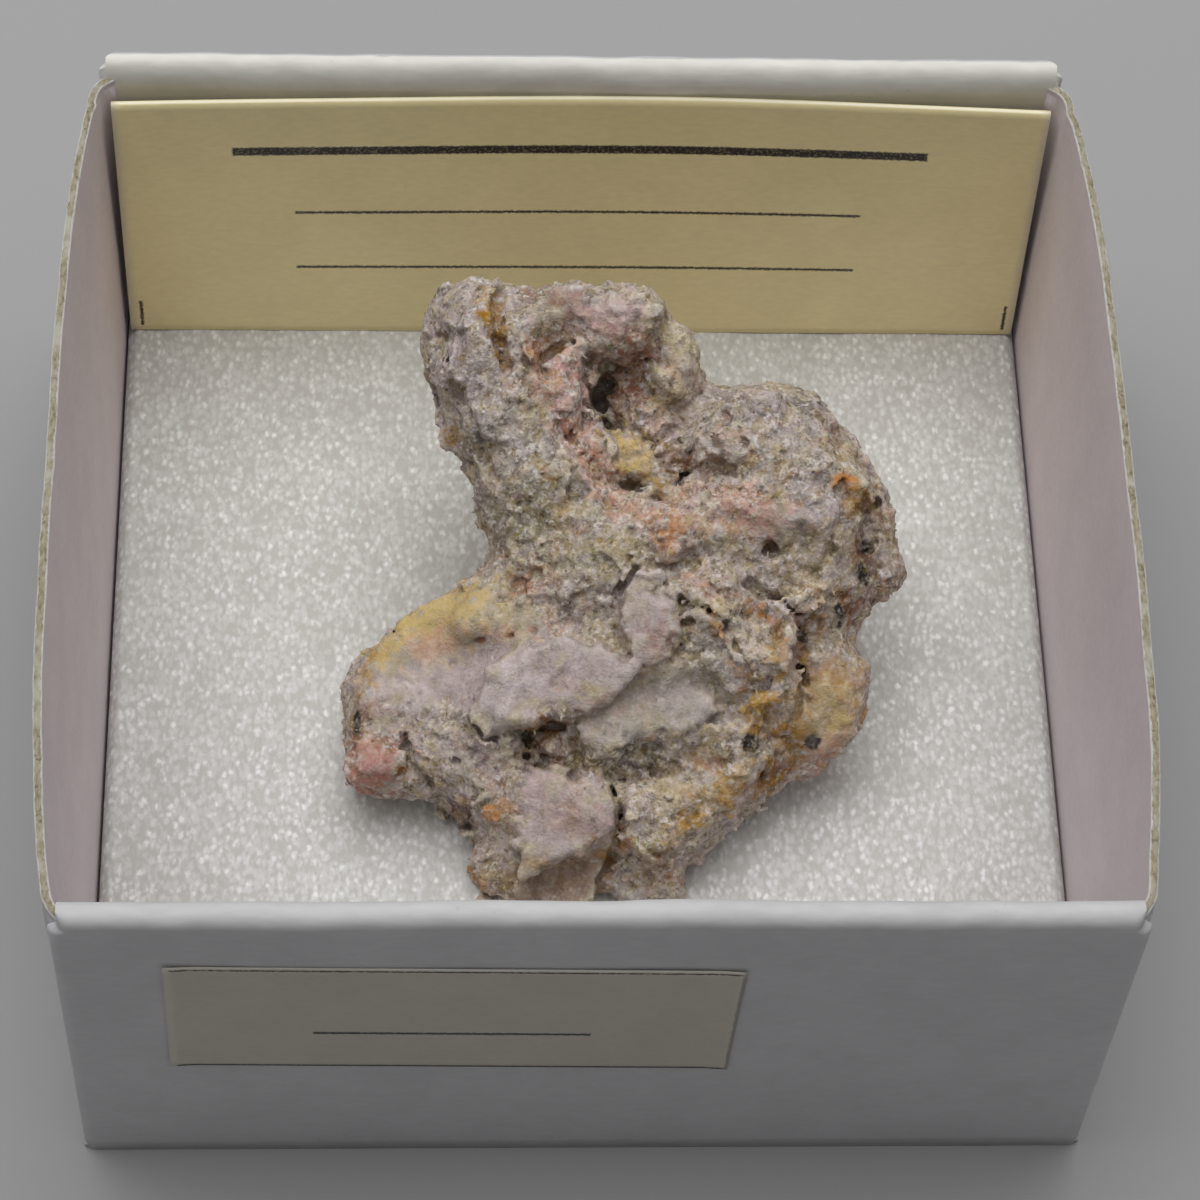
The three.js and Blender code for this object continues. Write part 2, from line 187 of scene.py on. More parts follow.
def card_fibre_effect():
    """Pulp board and paper: a faint cloudiness, short fibres and a few darker flecks."""
    group, recipe, given, result = effect(
        "card_fibre",
        {"Place": ("Vector", None), "Colour": ("Color", (0.8, 0.8, 0.8, 1)), "Clouding": ("Float", 0.06),
         "Flecks": ("Float", 0.3), "Fibre size": ("Float", 0.25)},
        {"Colour": "Color", "Height": "Float", "Gloss change": "Float"},
    )
    cloud = recipe.noise(given["Place"], 2.6, 1.0)
    scale = recipe.math("DIVIDE", 1 / MM, given["Fibre size"])
    feeds = {"Vector": given["Place"], "Scale": (0.4, 1.0, 1.0), "Rotation": (0.3, 0.5, 0.5)}
    lie = recipe.add("Mapping", feeds)
    felt = recipe.add("TexNoise", {"Vector": lie, "Scale": scale, "Detail": 1.0})
    clouded = recipe.math("MULTIPLY", given["Clouding"], recipe.stretch(cloud, 0.35, 0.7))
    shade = recipe.math("SUBTRACT", 1.0, clouded)
    grain = recipe.stretch(felt, 0.3, 0.7, 0.965, 1.02)
    specks = recipe.noise(given["Place"], 0.3, 0.0)
    fleck = recipe.math("MULTIPLY", recipe.stretch(specks, 0.83, 0.88), given["Flecks"])
    light = recipe.math("MULTIPLY", shade, grain)
    grey = recipe.add("CombineColor", {0: light, 1: light, 2: light})
    tinted = recipe.mix(1.0, given["Colour"], grey, "MULTIPLY")
    flecked = recipe.mix(fleck, tinted, (0.2, 0.17, 0.14, 1))
    links = recipe.tree.links
    links.new(flecked, result.inputs["Colour"])
    links.new(felt, result.inputs["Height"])
    links.new(recipe.stretch(cloud, 0.3, 0.7, -0.05, 0.05), result.inputs["Gloss change"])
    return group


def printed_bar_effect():
    """A printed bar on a card that stands across X: full ink inside it, with a slightly ragged edge."""
    group, recipe, given, result = effect(
        "printed_bar",
        {"Place": ("Vector", None), "Ragged": ("Float", 0.5), "Middle across": ("Float", 0.0),
         "Middle up": ("Float", 0.0), "Half width": ("Float", 1.0), "Half height": ("Float", 0.1)},
        {"Ink": "Float"},
    )
    soft = 0.03 * MM
    ragged = recipe.stretch(given["Ragged"], 0.3, 0.7, -soft, soft)
    along = recipe.outputs("SeparateXYZ", {0: given["Place"]})
    inside = []
    for axis, middle, half in (("X", "Middle across", "Half width"), ("Z", "Middle up", "Half height")):
        offset = recipe.math("SUBTRACT", along[axis], recipe.math("MULTIPLY", given[middle], MM))
        away = recipe.math("ADD", recipe.math("ABSOLUTE", offset), ragged)
        past = recipe.math("SUBTRACT", away, recipe.math("MULTIPLY", given[half], MM))
        inside.append(recipe.stretch(past, soft, -soft))
    recipe.tree.links.new(recipe.math("MULTIPLY", *inside), result.inputs["Ink"])
    return group


# ---- meshes: small tools ----

def piece(name, points, faces, look, stands_for, masks, tint=None, cut=None):
    """A piece from points in millimetres, with its finish, its masks and its place in the frame.

    tint is a colour for each point; cut is a second finish and the faces that have it.
    """
    mesh = bpy.data.meshes.new(name)
    points = np.asarray(points, float) * MM
    mesh.from_pydata(points.tolist(), [], faces if isinstance(faces, list) else faces.tolist())
    mesh.shade_smooth()
    for label, values in masks.items():
        mesh.attributes.new(label, "FLOAT", "POINT").data.foreach_set("value", np.asarray(values, np.float32))
    if tint is not None:
        colours = np.concatenate([tint, np.ones((len(tint), 1))], 1).astype(np.float32)
        mesh.color_attributes.new("tint", "FLOAT_COLOR", "POINT").data.foreach_set("color", colours.ravel())
    mesh.materials.append(look)
    if cut:
        mesh.materials.append(cut[0])
        mesh.polygons.foreach_set("material_index", np.asarray(cut[1], np.int32))
    made = bpy.data.objects.new(name, mesh)
    bpy.context.scene.collection.objects.link(made)
    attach(made, "root")
    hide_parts(*stands_for)
    return made


def swept(rings):
    """Points and faces of a closed body through rings of points, with flat ends."""
    rings = np.asarray(rings)
    count, around = rings.shape[:2]
    here = np.arange(count * around).reshape(count, around)
    after = np.roll(here, -1, axis=1)
    quads = np.stack([here[:-1], after[:-1], after[1:], here[1:]], -1).reshape(-1, 4).tolist()
    return rings.reshape(-1, 3), quads + [here[0][::-1].tolist(), here[-1].tolist()]


def joined(*bodies):
    """Several (points, faces) as one."""
    points, faces, start = [], [], 0
    for body_points, body_faces in bodies:
        points.append(body_points)
        faces += [[corner + start for corner in face] for face in body_faces]
        start += len(body_points)
    return np.concatenate(points), faces


def wobble(points, size, seed):
    """Smooth noise from -1 to 1 at each point, with lumps about size millimetres."""
    shift = Vector((seed * 7.3, seed * -3.1, seed * 11.9))
    return np.array([noise.noise(Vector(p) / size + shift) for p in points])


def waves(points, *parts):
    """The sum of a few wobbles, each with its depth, its lump size and its seed."""
    return sum(depth * wobble(points, size, seed) for depth, size, seed in parts)


def eased(share):
    """A share from 0 to 1 with a soft start and end."""
    share = np.clip(share, 0, 1)
    return share * share * (3 - 2 * share)


# ---- tray ----

TRAY = {
    "half": 20.0, "height": 20.0,
    "board": 0.45,  # one layer of card
    "wall": 1.1,  # a rolled wall, through both its layers
    "lean": 0.45, "back_lean": 0.12,  # how far the front and back walls lean in
    "corner": 0.45,  # radius of the upright edges
    "shoulder": 19.05, "roll_foot": 19.15, "roll_half": 19.5,  # the rolls are a little shorter than the walls
    "roll_corner": 0.52,  # radius of the front roll
    "soft_roll": (0.35, 0.7, 1.25),  # back roll: outside radius, then its reach across and down inside
    "taper": 0.14, "taper_rise": 19,  # how much half a wall's length shrinks, and over what height
    "step_top": 19.4, "step": 0.35,  # where a wall has narrowed to its roll, and how gently
    "side_top": 19.4,
    "side_bow": 1.0, "bow_flatness": 3.5,  # the side walls' belly at the top
    "painted_light_from": (18.9, 17.9),  # heights from which painted light whitens the paper: over the front roll, and over the back roll and down its inside
}
# Shares of the way from a side wall's middle to its end. Past 1 comes the flap inside the rolled wall.
SIDE_SHARES = np.concatenate([
    [-1.28, -1.2, -1.12], np.linspace(-1.06, -0.9, 12), np.linspace(-0.88, 0.88, 90),
    np.linspace(0.9, 1.06, 12), [1.12, 1.2, 1.28],
])


def rolled_wall(side):
    """A front (-1) or back (1) wall: the card goes up outside, folds over the top and comes down inside."""
    half, top, wall = TRAY["half"], TRAY["height"] - 0.03, TRAY["wall"]
    lean = TRAY["lean"] if side < 0 else TRAY["back_lean"]
    # The bend at the outside, and how far the bend at the inside reaches across and down.
    corner, across_in, drop_in = (TRAY["roll_corner"],) * 3 if side < 0 else TRAY["soft_roll"]
    shoulder, roll_half, taper = TRAY["shoulder"], TRAY["roll_half"], TRAY["taper"]
    up = np.concatenate([np.linspace(0, shoulder, 22), np.linspace(TRAY["roll_foot"], top - corner, 7)])
    bend = np.linspace(0, math.pi / 2, 10)[1:]
    ring = [(0, z) for z in up]
    ring += [(corner * (1 - math.cos(t)), top - corner + corner * math.sin(t)) for t in bend]
    ring += [(d, top) for d in np.linspace(corner, wall - across_in, 4)[1:]]
    ring += [(wall - across_in * (1 - math.sin(t)), top - drop_in * (1 - math.cos(t))) for t in bend]
    ring += [(wall, z) for z in np.linspace(top - drop_in, 0.3, 24)[1:]]
    depth, height = np.array(ring + [(wall - 0.1, 0.0), (0.12, 0.0)]).T
    step = eased((TRAY["step_top"] - height) / TRAY["step"])
    reach = np.where(height < shoulder, half - taper * height / TRAY["taper_rise"],
                     roll_half + (half - taper - roll_half) * step)
    reach = np.where((depth > 0.3) & (height < top - 0.5), roll_half - 0.02, reach)
    stations = np.sin(np.linspace(-1, 1, 210) * math.pi / 2)
    rings = []
    for across in stations:
        x = across * reach
        inset = np.maximum(0, np.abs(x) - (reach - TRAY["corner"]))
        rounding = TRAY["corner"] - np.sqrt(np.maximum(TRAY["corner"] ** 2 - inset ** 2, 0))
        rounding = rounding * np.clip(1 - depth / 0.5, 0, 1)
        away = half - lean * height / top - depth - rounding
        rings.append(np.stack([x, side * away, height], -1))
    rings = np.array(rings)
    points = rings.reshape(-1, 3)
    tall = np.clip(points[:, 2] / TRAY["height"], 0, 1)
    swell = waves(points, (0.07, 11, side + 3), (0.035, 3.4, side + 9))
    swell += (0.07 * wobble(points, 2.2, side + 15) - 0.05) * eased((points[:, 2] - 18.6) / 0.8)
    points[:, 1] += side * np.minimum(swell * tall, 0.0 if side < 0 else 0.05)
    crumple = 0.05 * wobble(points, 4.0, side + 5) + 0.03 * wobble(points * [1, 1, 2], 0.9, side + 8) - 0.02
    points[:, 2] += np.minimum(0, crumple) * (points[:, 2] > 19)
    shaped = points.reshape(rings.shape)
    return swept(shaped if side < 0 else shaped[::-1])


def side_wall(side):
    """A side wall of one layer of card. Its ends turn in behind the ends of the rolled walls."""
    board, top, half = TRAY["board"], TRAY["side_top"], TRAY["half"]
    levels = np.concatenate([np.linspace(0, top - 0.5, 20), np.linspace(top - 0.35, top, 6)])
    ring = [(-board / 2, z) for z in levels] + [(-board * 0.2, top + 0.03), (board * 0.2, top + 0.03)]
    ring += [(board / 2, z) for z in levels[::-1]]
    rings = []
    for share in SIDE_SHARES:
        row = []
        for off, z in ring:
            tall = (z / top) ** 2
            off *= 1 - 0.22 * eased((z - top + 1.0) / 0.9)
            radius = 0.55 + 0.75 * tall
            end = half - TRAY["wall"] / 2 - (TRAY["lean"] * 0.5) * z / top
            belly = TRAY["side_bow"] * tall * (1 - min(abs(share), 1.0) ** TRAY["bow_flatness"])
            bowed = half - board / 2 + belly
            # The run of the wall, then the turned corner, then the flap inside the rolled wall.
            straight = end - radius
            distance = abs(share) * (straight + radius * math.pi / 4)
            turn = np.clip((distance - straight) / radius, 0, math.pi / 2)
            flap = max(0.0, distance - straight - radius * math.pi / 2)
            x = bowed - radius * (1 - math.cos(turn)) - flap + off * math.cos(turn)
            y = min(distance, straight) + radius * math.sin(turn) + off * math.sin(turn)
            row.append((side * x, math.copysign(y, share), z - 0.25 * eased(turn / 1.2) * (z > top - 0.5)))
        rings.append(row)
    rings = np.array(rings)
    points = rings.reshape(-1, 3)
    tall = np.clip(points[:, 2] / top, 0, 1)
    creases = 0.05 * wobble(points * [1, 1, 0.35], 5.0, side + 21)
    creases += 0.03 * wobble(points * [1, 1, 0.2], 1.6, side)
    # The card is folded sharply where it turns behind the label.
    past_fold = points[:, 1] - 17.0 - 0.04 * (points[:, 2] - 12)
    creases += 0.09 * np.exp(-((past_fold / 0.22) ** 2))
    points[:, 0] -= side * np.clip(creases, -0.02, 0.12) * tall
    points[:, 2] += (0.03 * wobble(points, 0.8, side + 31) - 0.01) * (points[:, 2] > top - 0.3)
    points[:, 0] += 0.03 * wobble(points, 0.5, side + 33) * (points[:, 2] > top - 0.05)
    shaped = points.reshape(rings.shape)
    return swept(shaped if side > 0 else shaped[::-1])


def tray_floor():
    """The bottom panel, with softly rounded edges."""
    half, board = TRAY["half"] - 0.02, TRAY["board"]
    rings = []
    for x in np.linspace(-half, half, 41):
        edge = 0.1 * (abs(x) > half - 0.01)
        ring = [(x, y, edge) for y in np.linspace(-half + 0.1, half - 0.1, 31)]
        ring += [(x, half - edge, board / 2)]
        ring += [(x, y, board - edge) for y in np.linspace(half - 0.1, -half + 0.1, 31)]
        ring += [(x, -half + edge, board / 2)]
        rings.append(ring)
    return swept(np.array(rings)[::-1])


def card_look(fibre):
    """White board, grey-white outside, with painted light and a painted pink reflection of the stone on the
    side walls' inner faces, and painted light whitening the folds.
    """
    look, recipe = material("white_board")
    place = recipe.add("TexCoord", out="Object")
    # Painted light and a painted pink reflection of the stone: the side walls' inner faces are paler and
    # mauve.
    faces = recipe.mix(recipe.mask("painted_inner_light"), paint(206, 206, 209), paint(228, 216, 221))
    # Painted light: the tops of the folds are whiter.
    faces = recipe.mix(recipe.mask("painted_fold_light"), faces, paint(240, 238, 230))
    felt = recipe.shared(fibre, {"Place": place, "Colour": faces, "Clouding": 0.05, "Flecks": 0.12,
                                 "Fibre size": 0.3})
    bump = recipe.bump(felt["Height"], strength=0.35, depth=0.03)
    gloss = recipe.math("ADD", 0.62, felt["Gloss change"])
    recipe.surface(Base_Color=felt["Colour"], Roughness=gloss, Normal=bump)
    return look


def raw_edge_look():
    """Cut board: its grey-tan pulp core, streaked along the card, between its two white faces."""
    look, recipe = material("cut_board")
    place = recipe.add("TexCoord", out="Object")
    layers = recipe.noise(place, 0.12, 3.0, 0.65, stretch=(1.0, 0.3, 1.0))
    pulp = recipe.mix(recipe.stretch(layers, 0.3, 0.65), paint(128, 120, 92), paint(176, 168, 146))
    fibres = recipe.stretch(recipe.noise(place, 0.22, 2.0), 0.6, 0.68, 0.0, 0.7)
    pulp = recipe.mix(fibres, pulp, paint(96, 84, 58))
    scuffs = recipe.stretch(recipe.noise(place, 1.1, 2.0), 0.5, 0.7, 0.0, 0.7)
    pulp = recipe.mix(scuffs, pulp, paint(196, 192, 182))
    tear = recipe.stretch(recipe.noise(place, 0.25, 3.0), 0.2, 0.8, -0.35, 0.35)
    ragged = recipe.math("ADD", recipe.mask("raw_edge"), tear)
    colour = recipe.mix(recipe.stretch(ragged, 0.35, 0.65), paint(214, 212, 208), pulp)
    bump = recipe.bump(layers, strength=0.6, depth=0.05)
    recipe.surface(Base_Color=colour, Roughness=0.9, Normal=bump)
    return look


def make_tray(fibre):
    """The folded card as one piece, with masks for its cut edges, for the painted light and pink reflection
    on its inner side faces, and for the painted light over its folds.
    """
    bodies = [rolled_wall(-1), rolled_wall(1), side_wall(-1), side_wall(1), tray_floor()]
    points, faces = joined(*bodies)
    start = len(bodies[0][0]) + len(bodies[1][0])
    stop = start + len(bodies[2][0]) + len(bodies[3][0])
    # Around a side wall: its inner face, the three strips of its cut edge, then its outer face.
    stations = len(SIDE_SHARES)
    around = len(bodies[2][0]) // stations
    inner_face = (around - 2) // 2
    core, inside, strips = np.zeros(around), np.zeros(around), np.zeros(around)
    core[inner_face:inner_face + 2] = 1
    inside[:inner_face] = 1
    strips[inner_face - 1:inner_face + 2] = 1
    # The side walls' inner faces carry painted light and a painted pink reflection of the stone.
    raw, painted_inner_light = np.zeros(len(points)), np.zeros(len(points))
    raw[start:stop] = np.tile(core, 2 * stations)
    painted_inner_light[start:stop] = np.tile(inside, 2 * stations)
    # Painted light: the paper is whiter over the folds, and down to the label at the back.
    height, painted_fold_light = points[:, 2], np.zeros(len(points))
    back = len(bodies[0][0])
    front_lit_from, back_lit_from = TRAY["painted_light_from"]
    painted_fold_light[:back] = 0.12 * eased((height[:back] - front_lit_from) / 0.6)
    painted_fold_light[back:start] = eased((height[back:start] - back_lit_from) / 0.6) * (points[back:start, 1] < 19.6)
    # The faces come in the same order, with two ends after the last strip of each body.
    counts = [len(body_faces) for _, body_faces in bodies]
    cut = np.zeros(len(faces))
    for wall in (2, 3):
        first = sum(counts[:wall])
        cut[first:first + counts[wall] - 2] = np.tile(strips, stations - 1)
    piece("tray_card", points, faces, card_look(fibre), ["tray"],
          {"raw_edge": raw, "painted_inner_light": painted_inner_light, "painted_fold_light": painted_fold_light}, cut=(raw_edge_look(), cut))


# ---- foam pad ----

FOAM = {
    "half_x": 19.47, "half_y": 18.75,
    "levels": (4.4, 3.2, 2.0, 0.47),  # heights on the cut sides, down to the underside
    "edge": 5.28, "crown": 0.17,  # height at the edge, and the middle's extra height
    "step": 0.13,  # spacing of the surface's points
    "cell": 0.36, "dome": 0.04,  # width and height of a blown cell
}


def make_foam():
    """The pad: a top of low domes, one to a cell, over cut sides."""
    nx = int(2 * FOAM["half_x"] / FOAM["step"])
    ny = int(2 * FOAM["half_y"] / FOAM["step"])
    x, y = np.meshgrid(np.linspace(-1, 1, nx) * FOAM["half_x"], np.linspace(-1, 1, ny) * FOAM["half_y"],
                       indexing="ij")
    # Each blown cell is a low dome around its own middle.
    size = FOAM["cell"]
    counts = (int(2 * FOAM["half_x"] / size) + 3, int(2 * FOAM["half_y"] / size) + 3)
    jitter = rng.uniform(0.05, 0.95, counts + (2,))
    swell = rng.uniform(0.4, 1.0, counts)
    column = (x + FOAM["half_x"]) / size + 1
    row = (y + FOAM["half_y"]) / size + 1
    nearest = np.full(x.shape, 9.0)
    lift = np.zeros(x.shape)
    for di in (-1, 0, 1):
        for dj in (-1, 0, 1):
            i = np.clip(column.astype(int) + di, 0, counts[0] - 1)
            j = np.clip(row.astype(int) + dj, 0, counts[1] - 1)
            away = np.hypot(column - i - jitter[i, j, 0], row - j - jitter[i, j, 1])
            lift = np.where(away < nearest, swell[i, j], lift)
            nearest = np.minimum(nearest, away)
    dome = lift * (1 - np.clip(nearest / 0.75, 0, 1) ** 2)
    flat = np.stack([x, y, np.zeros(x.shape)], -1).reshape(-1, 3)
    drift = wobble(flat, 6.0, 2).reshape(x.shape) * 0.05 + wobble(flat, 1.4, 6).reshape(x.shape) * 0.03
    edge = np.minimum(FOAM["half_x"] - np.abs(x), FOAM["half_y"] - np.abs(y))
    z = FOAM["edge"] + FOAM["crown"] * eased(edge / 6) - 0.1 + FOAM["dome"] * dome + drift * eased(edge / 2)
    z -= 0.35 * (1 - eased(edge / 0.5)) ** 2  # the cut softens the top edge
    z = np.minimum(z, FOAM["edge"] + FOAM["crown"])
    top = np.stack([x, y, z], -1)
    here = np.arange(nx * ny).reshape(nx, ny)
    faces = np.stack([here[:-1, :-1], here[1:, :-1], here[1:, 1:], here[:-1, 1:]], -1).reshape(-1, 4).tolist()
    rim = np.concatenate([here[:, 0], here[-1, 1:], here[-2::-1, -1], here[0, -2:0:-1]])
    points = [top.reshape(-1, 3)]
    above = rim
    for z_low in FOAM["levels"]:
        ring = points[0][rim].copy()
        ring[:, 2] = z_low
        ring[:, :2] *= 1 - 0.0015 * wobble(ring, 0.7, 4)[:, None] - 0.0015
        below = nx * ny + len(rim) * (len(points) - 1) + np.arange(len(rim))
        faces += np.stack([above, below, np.roll(below, -1), np.roll(above, -1)], -1).tolist()
        points.append(ring)
        above = below
    faces.append(above[::-1].tolist())
    # The domes' heights, which darken the low places with painted shade; the cut sides get none of it.
    shade_by_dome = np.concatenate([dome.ravel(), np.full(len(FOAM["levels"]) * len(rim), 0.4)])
    pad = piece("foam_sheet", np.concatenate(points), faces, foam_look(), ["foam_pad"],
                {"dome": shade_by_dome})


def foam_look():
    """Blown foam: each cell carries a painted highlight of its own strength, with painted shade in the gaps
    between the cells and where the domes are low.
    """
    look, recipe = material("blown_foam")
    place = recipe.add("TexCoord", out="Object")
    streak = recipe.noise(place, 0.16, 1.0, 0.65, stretch=(1.0, 0.6, 0.8))
    cells = recipe.cells(recipe.add("Mapping", {"Vector": place, "Scale": (1.0, 0.72, 1.0)}), 0.27)
    own = recipe.add("SeparateColor", {0: cells["Color"]})
    away = recipe.math("ADD", cells["Distance"], recipe.stretch(streak, 0.3, 0.7, 0.2, -0.2))
    # Painted highlight: a pale spot in the middle of each cell, each of its own strength.
    painted_glint = recipe.math("MULTIPLY", recipe.stretch(away, 0.5, 0.12), recipe.stretch(own, 0.1, 1.0, 0.1, 0.85))
    patch = recipe.stretch(recipe.noise(place, 2.4, 1.0), 0.3, 0.7)
    body = recipe.mix(patch, paint(201, 200, 196), paint(211, 210, 207))
    glinting = recipe.mix(painted_glint, body, paint(250, 250, 249))
    # Painted shade: the gaps between the cells and the low places between the domes are darker.
    low = recipe.stretch(recipe.mask("dome"), 0.0, 0.4, 0.12, 0.0)
    painted_web_shade = recipe.math("MAXIMUM", recipe.stretch(away, 0.5, 0.75, 0.0, 0.5), low)
    shaded = recipe.mix(painted_web_shade, glinting, paint(184, 181, 173))
    bump = recipe.bump(streak, strength=0.5, depth=0.05)
    gloss = recipe.stretch(streak, 0.45, 0.7, 0.6, 0.4)
    recipe.surface(Base_Color=shaded, Roughness=gloss, Normal=bump)
    return look


# ---- label card and sticker ----

LABEL = {
    "half": 19.33, "thick": 0.22, "low": 5.32, "top": 18.58,
    "foot": 16.16, "lean": 2.15,  # how far back it stands, and how much further back its top is
    "bow": 0.5,
}
STICKER = {
    "half_x": 10.65, "half_z": 4.17, "x": -5.35, "z": 12.3,
    "turn": 1.3,  # degrees
    "thick": 0.1, "gap": 0.01,  # the gap is the glue's
}
# Printed lines: middle across, middle up, half width, half height.
LABEL_RULES = [
    (0.0, 15.9, 14.5, 0.22), (0.0, 12.4, 12.0, 0.07), (0.0, 9.2, 12.0, 0.07),
    (-18.8, 6.35, 0.07, 0.75), (18.9, 6.35, 0.07, 0.75),
]
STICKER_RULES = [
    (0.1, 4.06, 10.5, 0.05), (0.1, -4.13, 10.5, 0.08), (10.6, 0.0, 0.08, 4.2), (0.0, -1.2, 5.2, 0.09),
]


def paper_look(name, fibre, bar, face, cut, rules, ink, turn=0.0, shift=(0, 0, 0)):
    """Printed paper: its fibre and flecks, the printed bars and a paler cut edge."""
    look, recipe = material(name)
    place = recipe.add("TexCoord", out="Object")
    upright = recipe.add("Mapping", {"Vector": place, "Location": [-MM * v for v in shift]})
    if turn:
        upright = recipe.add("Mapping", {"Vector": upright, "Rotation": (0, -turn, 0)})
    felt = recipe.shared(fibre, {"Place": place, "Colour": face, "Clouding": 0.04, "Flecks": 0.05,
                                 "Fibre size": 0.2})
    printed = None
    ragged = recipe.noise(place, 0.12, 1.0)
    for across, up, half_width, half_height in rules:
        feeds = {"Place": upright, "Ragged": ragged, "Middle across": across, "Middle up": up,
                 "Half width": half_width, "Half height": half_height}
        one = recipe.shared(bar, feeds)["Ink"]
        printed = one if printed is None else recipe.math("MAXIMUM", printed, one)
    worn = recipe.math("MULTIPLY", printed, recipe.stretch(ragged, 0.3, 0.5, 0.8, 1.0))
    inked = recipe.mix(worn, felt["Colour"], ink)
    colour = recipe.mix(recipe.mask("cut_edge"), inked, cut)
    bump = recipe.bump(felt["Height"], strength=0.25, depth=0.02)
    gloss = recipe.math("SUBTRACT", recipe.math("ADD", 0.55, felt["Gloss change"]),
                        recipe.math("MULTIPLY", printed, 0.15))
    recipe.surface(Base_Color=colour, Roughness=gloss, Normal=bump)
    return look


def thin_card(across, up, depth, thick):
    """A thin card over a grid of (x, z), with its middle depth(x, z) along Y: points, faces and edge mask."""
    x, z = np.meshgrid(across, up, indexing="ij")
    y = depth(x, z)
    nx, nz = x.shape
    front = np.stack([x, y - thick / 2, z], -1)
    back = np.stack([x, y + thick / 2, z], -1)
    rings = []
    for i in range(nx):
        bottom = (front[i, :1] + back[i, :1]) / 2 + [0, 0, -0.02]
        top = (front[i, -1:] + back[i, -1:]) / 2 + [0, 0, 0.02]
        rings.append(np.concatenate([front[i], top, back[i][::-1], bottom]))
    points, faces = swept(np.array(rings)[::-1])
    edge = np.zeros((nx, 2 * nz + 2))
    edge[:, nz] = 1
    edge[:, -1] = 1
    edge[[0, -1]] = 0.6
    return points, faces, edge[::-1].ravel()


def make_label(fibre, bar):
    """The label stands on the foam, leans on the back wall and bows a little between the side walls."""
    rise = LABEL["top"] - LABEL["low"]

    def depth(x, z):
        tall = (z - LABEL["low"]) / rise
        across = x / LABEL["half"]
        ripple = 0.05 * np.sin(x / 4.1 + 0.8) * tall
        return LABEL["foot"] + LABEL["lean"] * tall + LABEL["bow"] * tall * (0.5 - across ** 2) + ripple

    points, faces, edge = thin_card(np.linspace(-1, 1, 90) * LABEL["half"],
                                    np.linspace(LABEL["low"], LABEL["top"], 40), depth, LABEL["thick"])
    look = paper_look("label_stock", fibre, bar, paint(253, 238, 182), paint(250, 246, 226), LABEL_RULES,
                      paint(38, 32, 28))
    piece("label", points, faces, look, ["label_card"], {"cut_edge": edge})


def make_sticker(fibre, bar):
    """The sticker lies flat on the front wall, a little askew, with lifting corners."""
    turn = math.radians(STICKER["turn"])
    height = TRAY["height"]

    def depth(x, z):
        return -0.05 * eased(np.abs(x) - 9.6) * eased(np.abs(z) - 3.0)

    points, faces, edge = thin_card(np.linspace(-1, 1, 60) * STICKER["half_x"],
                                    np.linspace(-1, 1, 24) * STICKER["half_z"], depth, STICKER["thick"])
    x, y, z = points.T
    world_x = STICKER["x"] + x * math.cos(turn) + z * math.sin(turn)
    world_z = STICKER["z"] - x * math.sin(turn) + z * math.cos(turn)
    wall = -TRAY["half"] + TRAY["lean"] * world_z / height
    points = np.stack([world_x, wall + y - STICKER["thick"] / 2 - STICKER["gap"], world_z], -1)
    look = paper_look("sticker_stock", fibre, bar, paint(204, 196, 182), paint(226, 222, 214), STICKER_RULES,
                      paint(36, 34, 34), turn, (STICKER["x"], 0, STICKER["z"]))
    piece("sticker", points, faces, look, ["number_sticker"], {"cut_edge": edge})


# ---- stone: its grid ----

CELL = 0.115  # spacing of the grid
LOW = np.array([-12.8, -16.0, -12.8])  # the grid's corners, in the stone's own frame
HIGH = np.array([13.8, 14.8, 6.8])
COUNTS = tuple(np.ceil((HIGH - LOW) / CELL).astype(int))
AXES = [LOW[k] + CELL * np.arange(COUNTS[k]) for k in range(3)]
STONE_PLACE = np.array([1.4, -1.1, 11.3])  # where that frame stands in the tray
STONE_LEAN, STONE_TIP = 30.3, -2.6  # its turns about X and Y, in degrees
BED = 5.47  # height of the foam under the stone's feet
ROUNDING = 0.34  # how far the plain form's facets are softened


def stone_turn():
    """Turns the stone's own frame, whose show face looks along +Z, into the tray's."""
    lean = Matrix.Rotation(math.radians(STONE_LEAN), 3, "X")
    return np.array(lean @ Matrix.Rotation(math.radians(STONE_TIP), 3, "Y"))


def blurred(field, size):
    """The field softened over size millimetres."""
    reach = max(1, math.ceil(2.6 * size / CELL))
    taps = np.exp(-0.5 * (np.arange(-reach, reach + 1) * CELL / size) ** 2)
    taps = (taps / taps.sum()).astype(np.float32)
    for axis in range(field.ndim):
        margin = [(reach, reach) if k == axis else (0, 0) for k in range(field.ndim)]
        wide = np.pad(field, margin, mode="edge")
        total = np.zeros(field.shape, np.float32)
        for k, tap in enumerate(taps):
            part = [slice(None)] * field.ndim
            part[axis] = slice(k, k + field.shape[axis])
            total += tap * wide[tuple(part)]
        field = total
    return field


def lump_layers(sizes, shape):
    """Random lumpiness at each of a few sizes, each layer with a spread of 1."""
    layers = []
    finer = blurred(rng.standard_normal(shape, dtype=np.float32), sizes[0])
    for smaller, larger in zip(sizes, sizes[1:]):
        coarser = blurred(finer, math.sqrt(larger ** 2 - smaller ** 2))
        band = finer - coarser
        layers.append(band / band.std())
        finer = coarser
    return layers


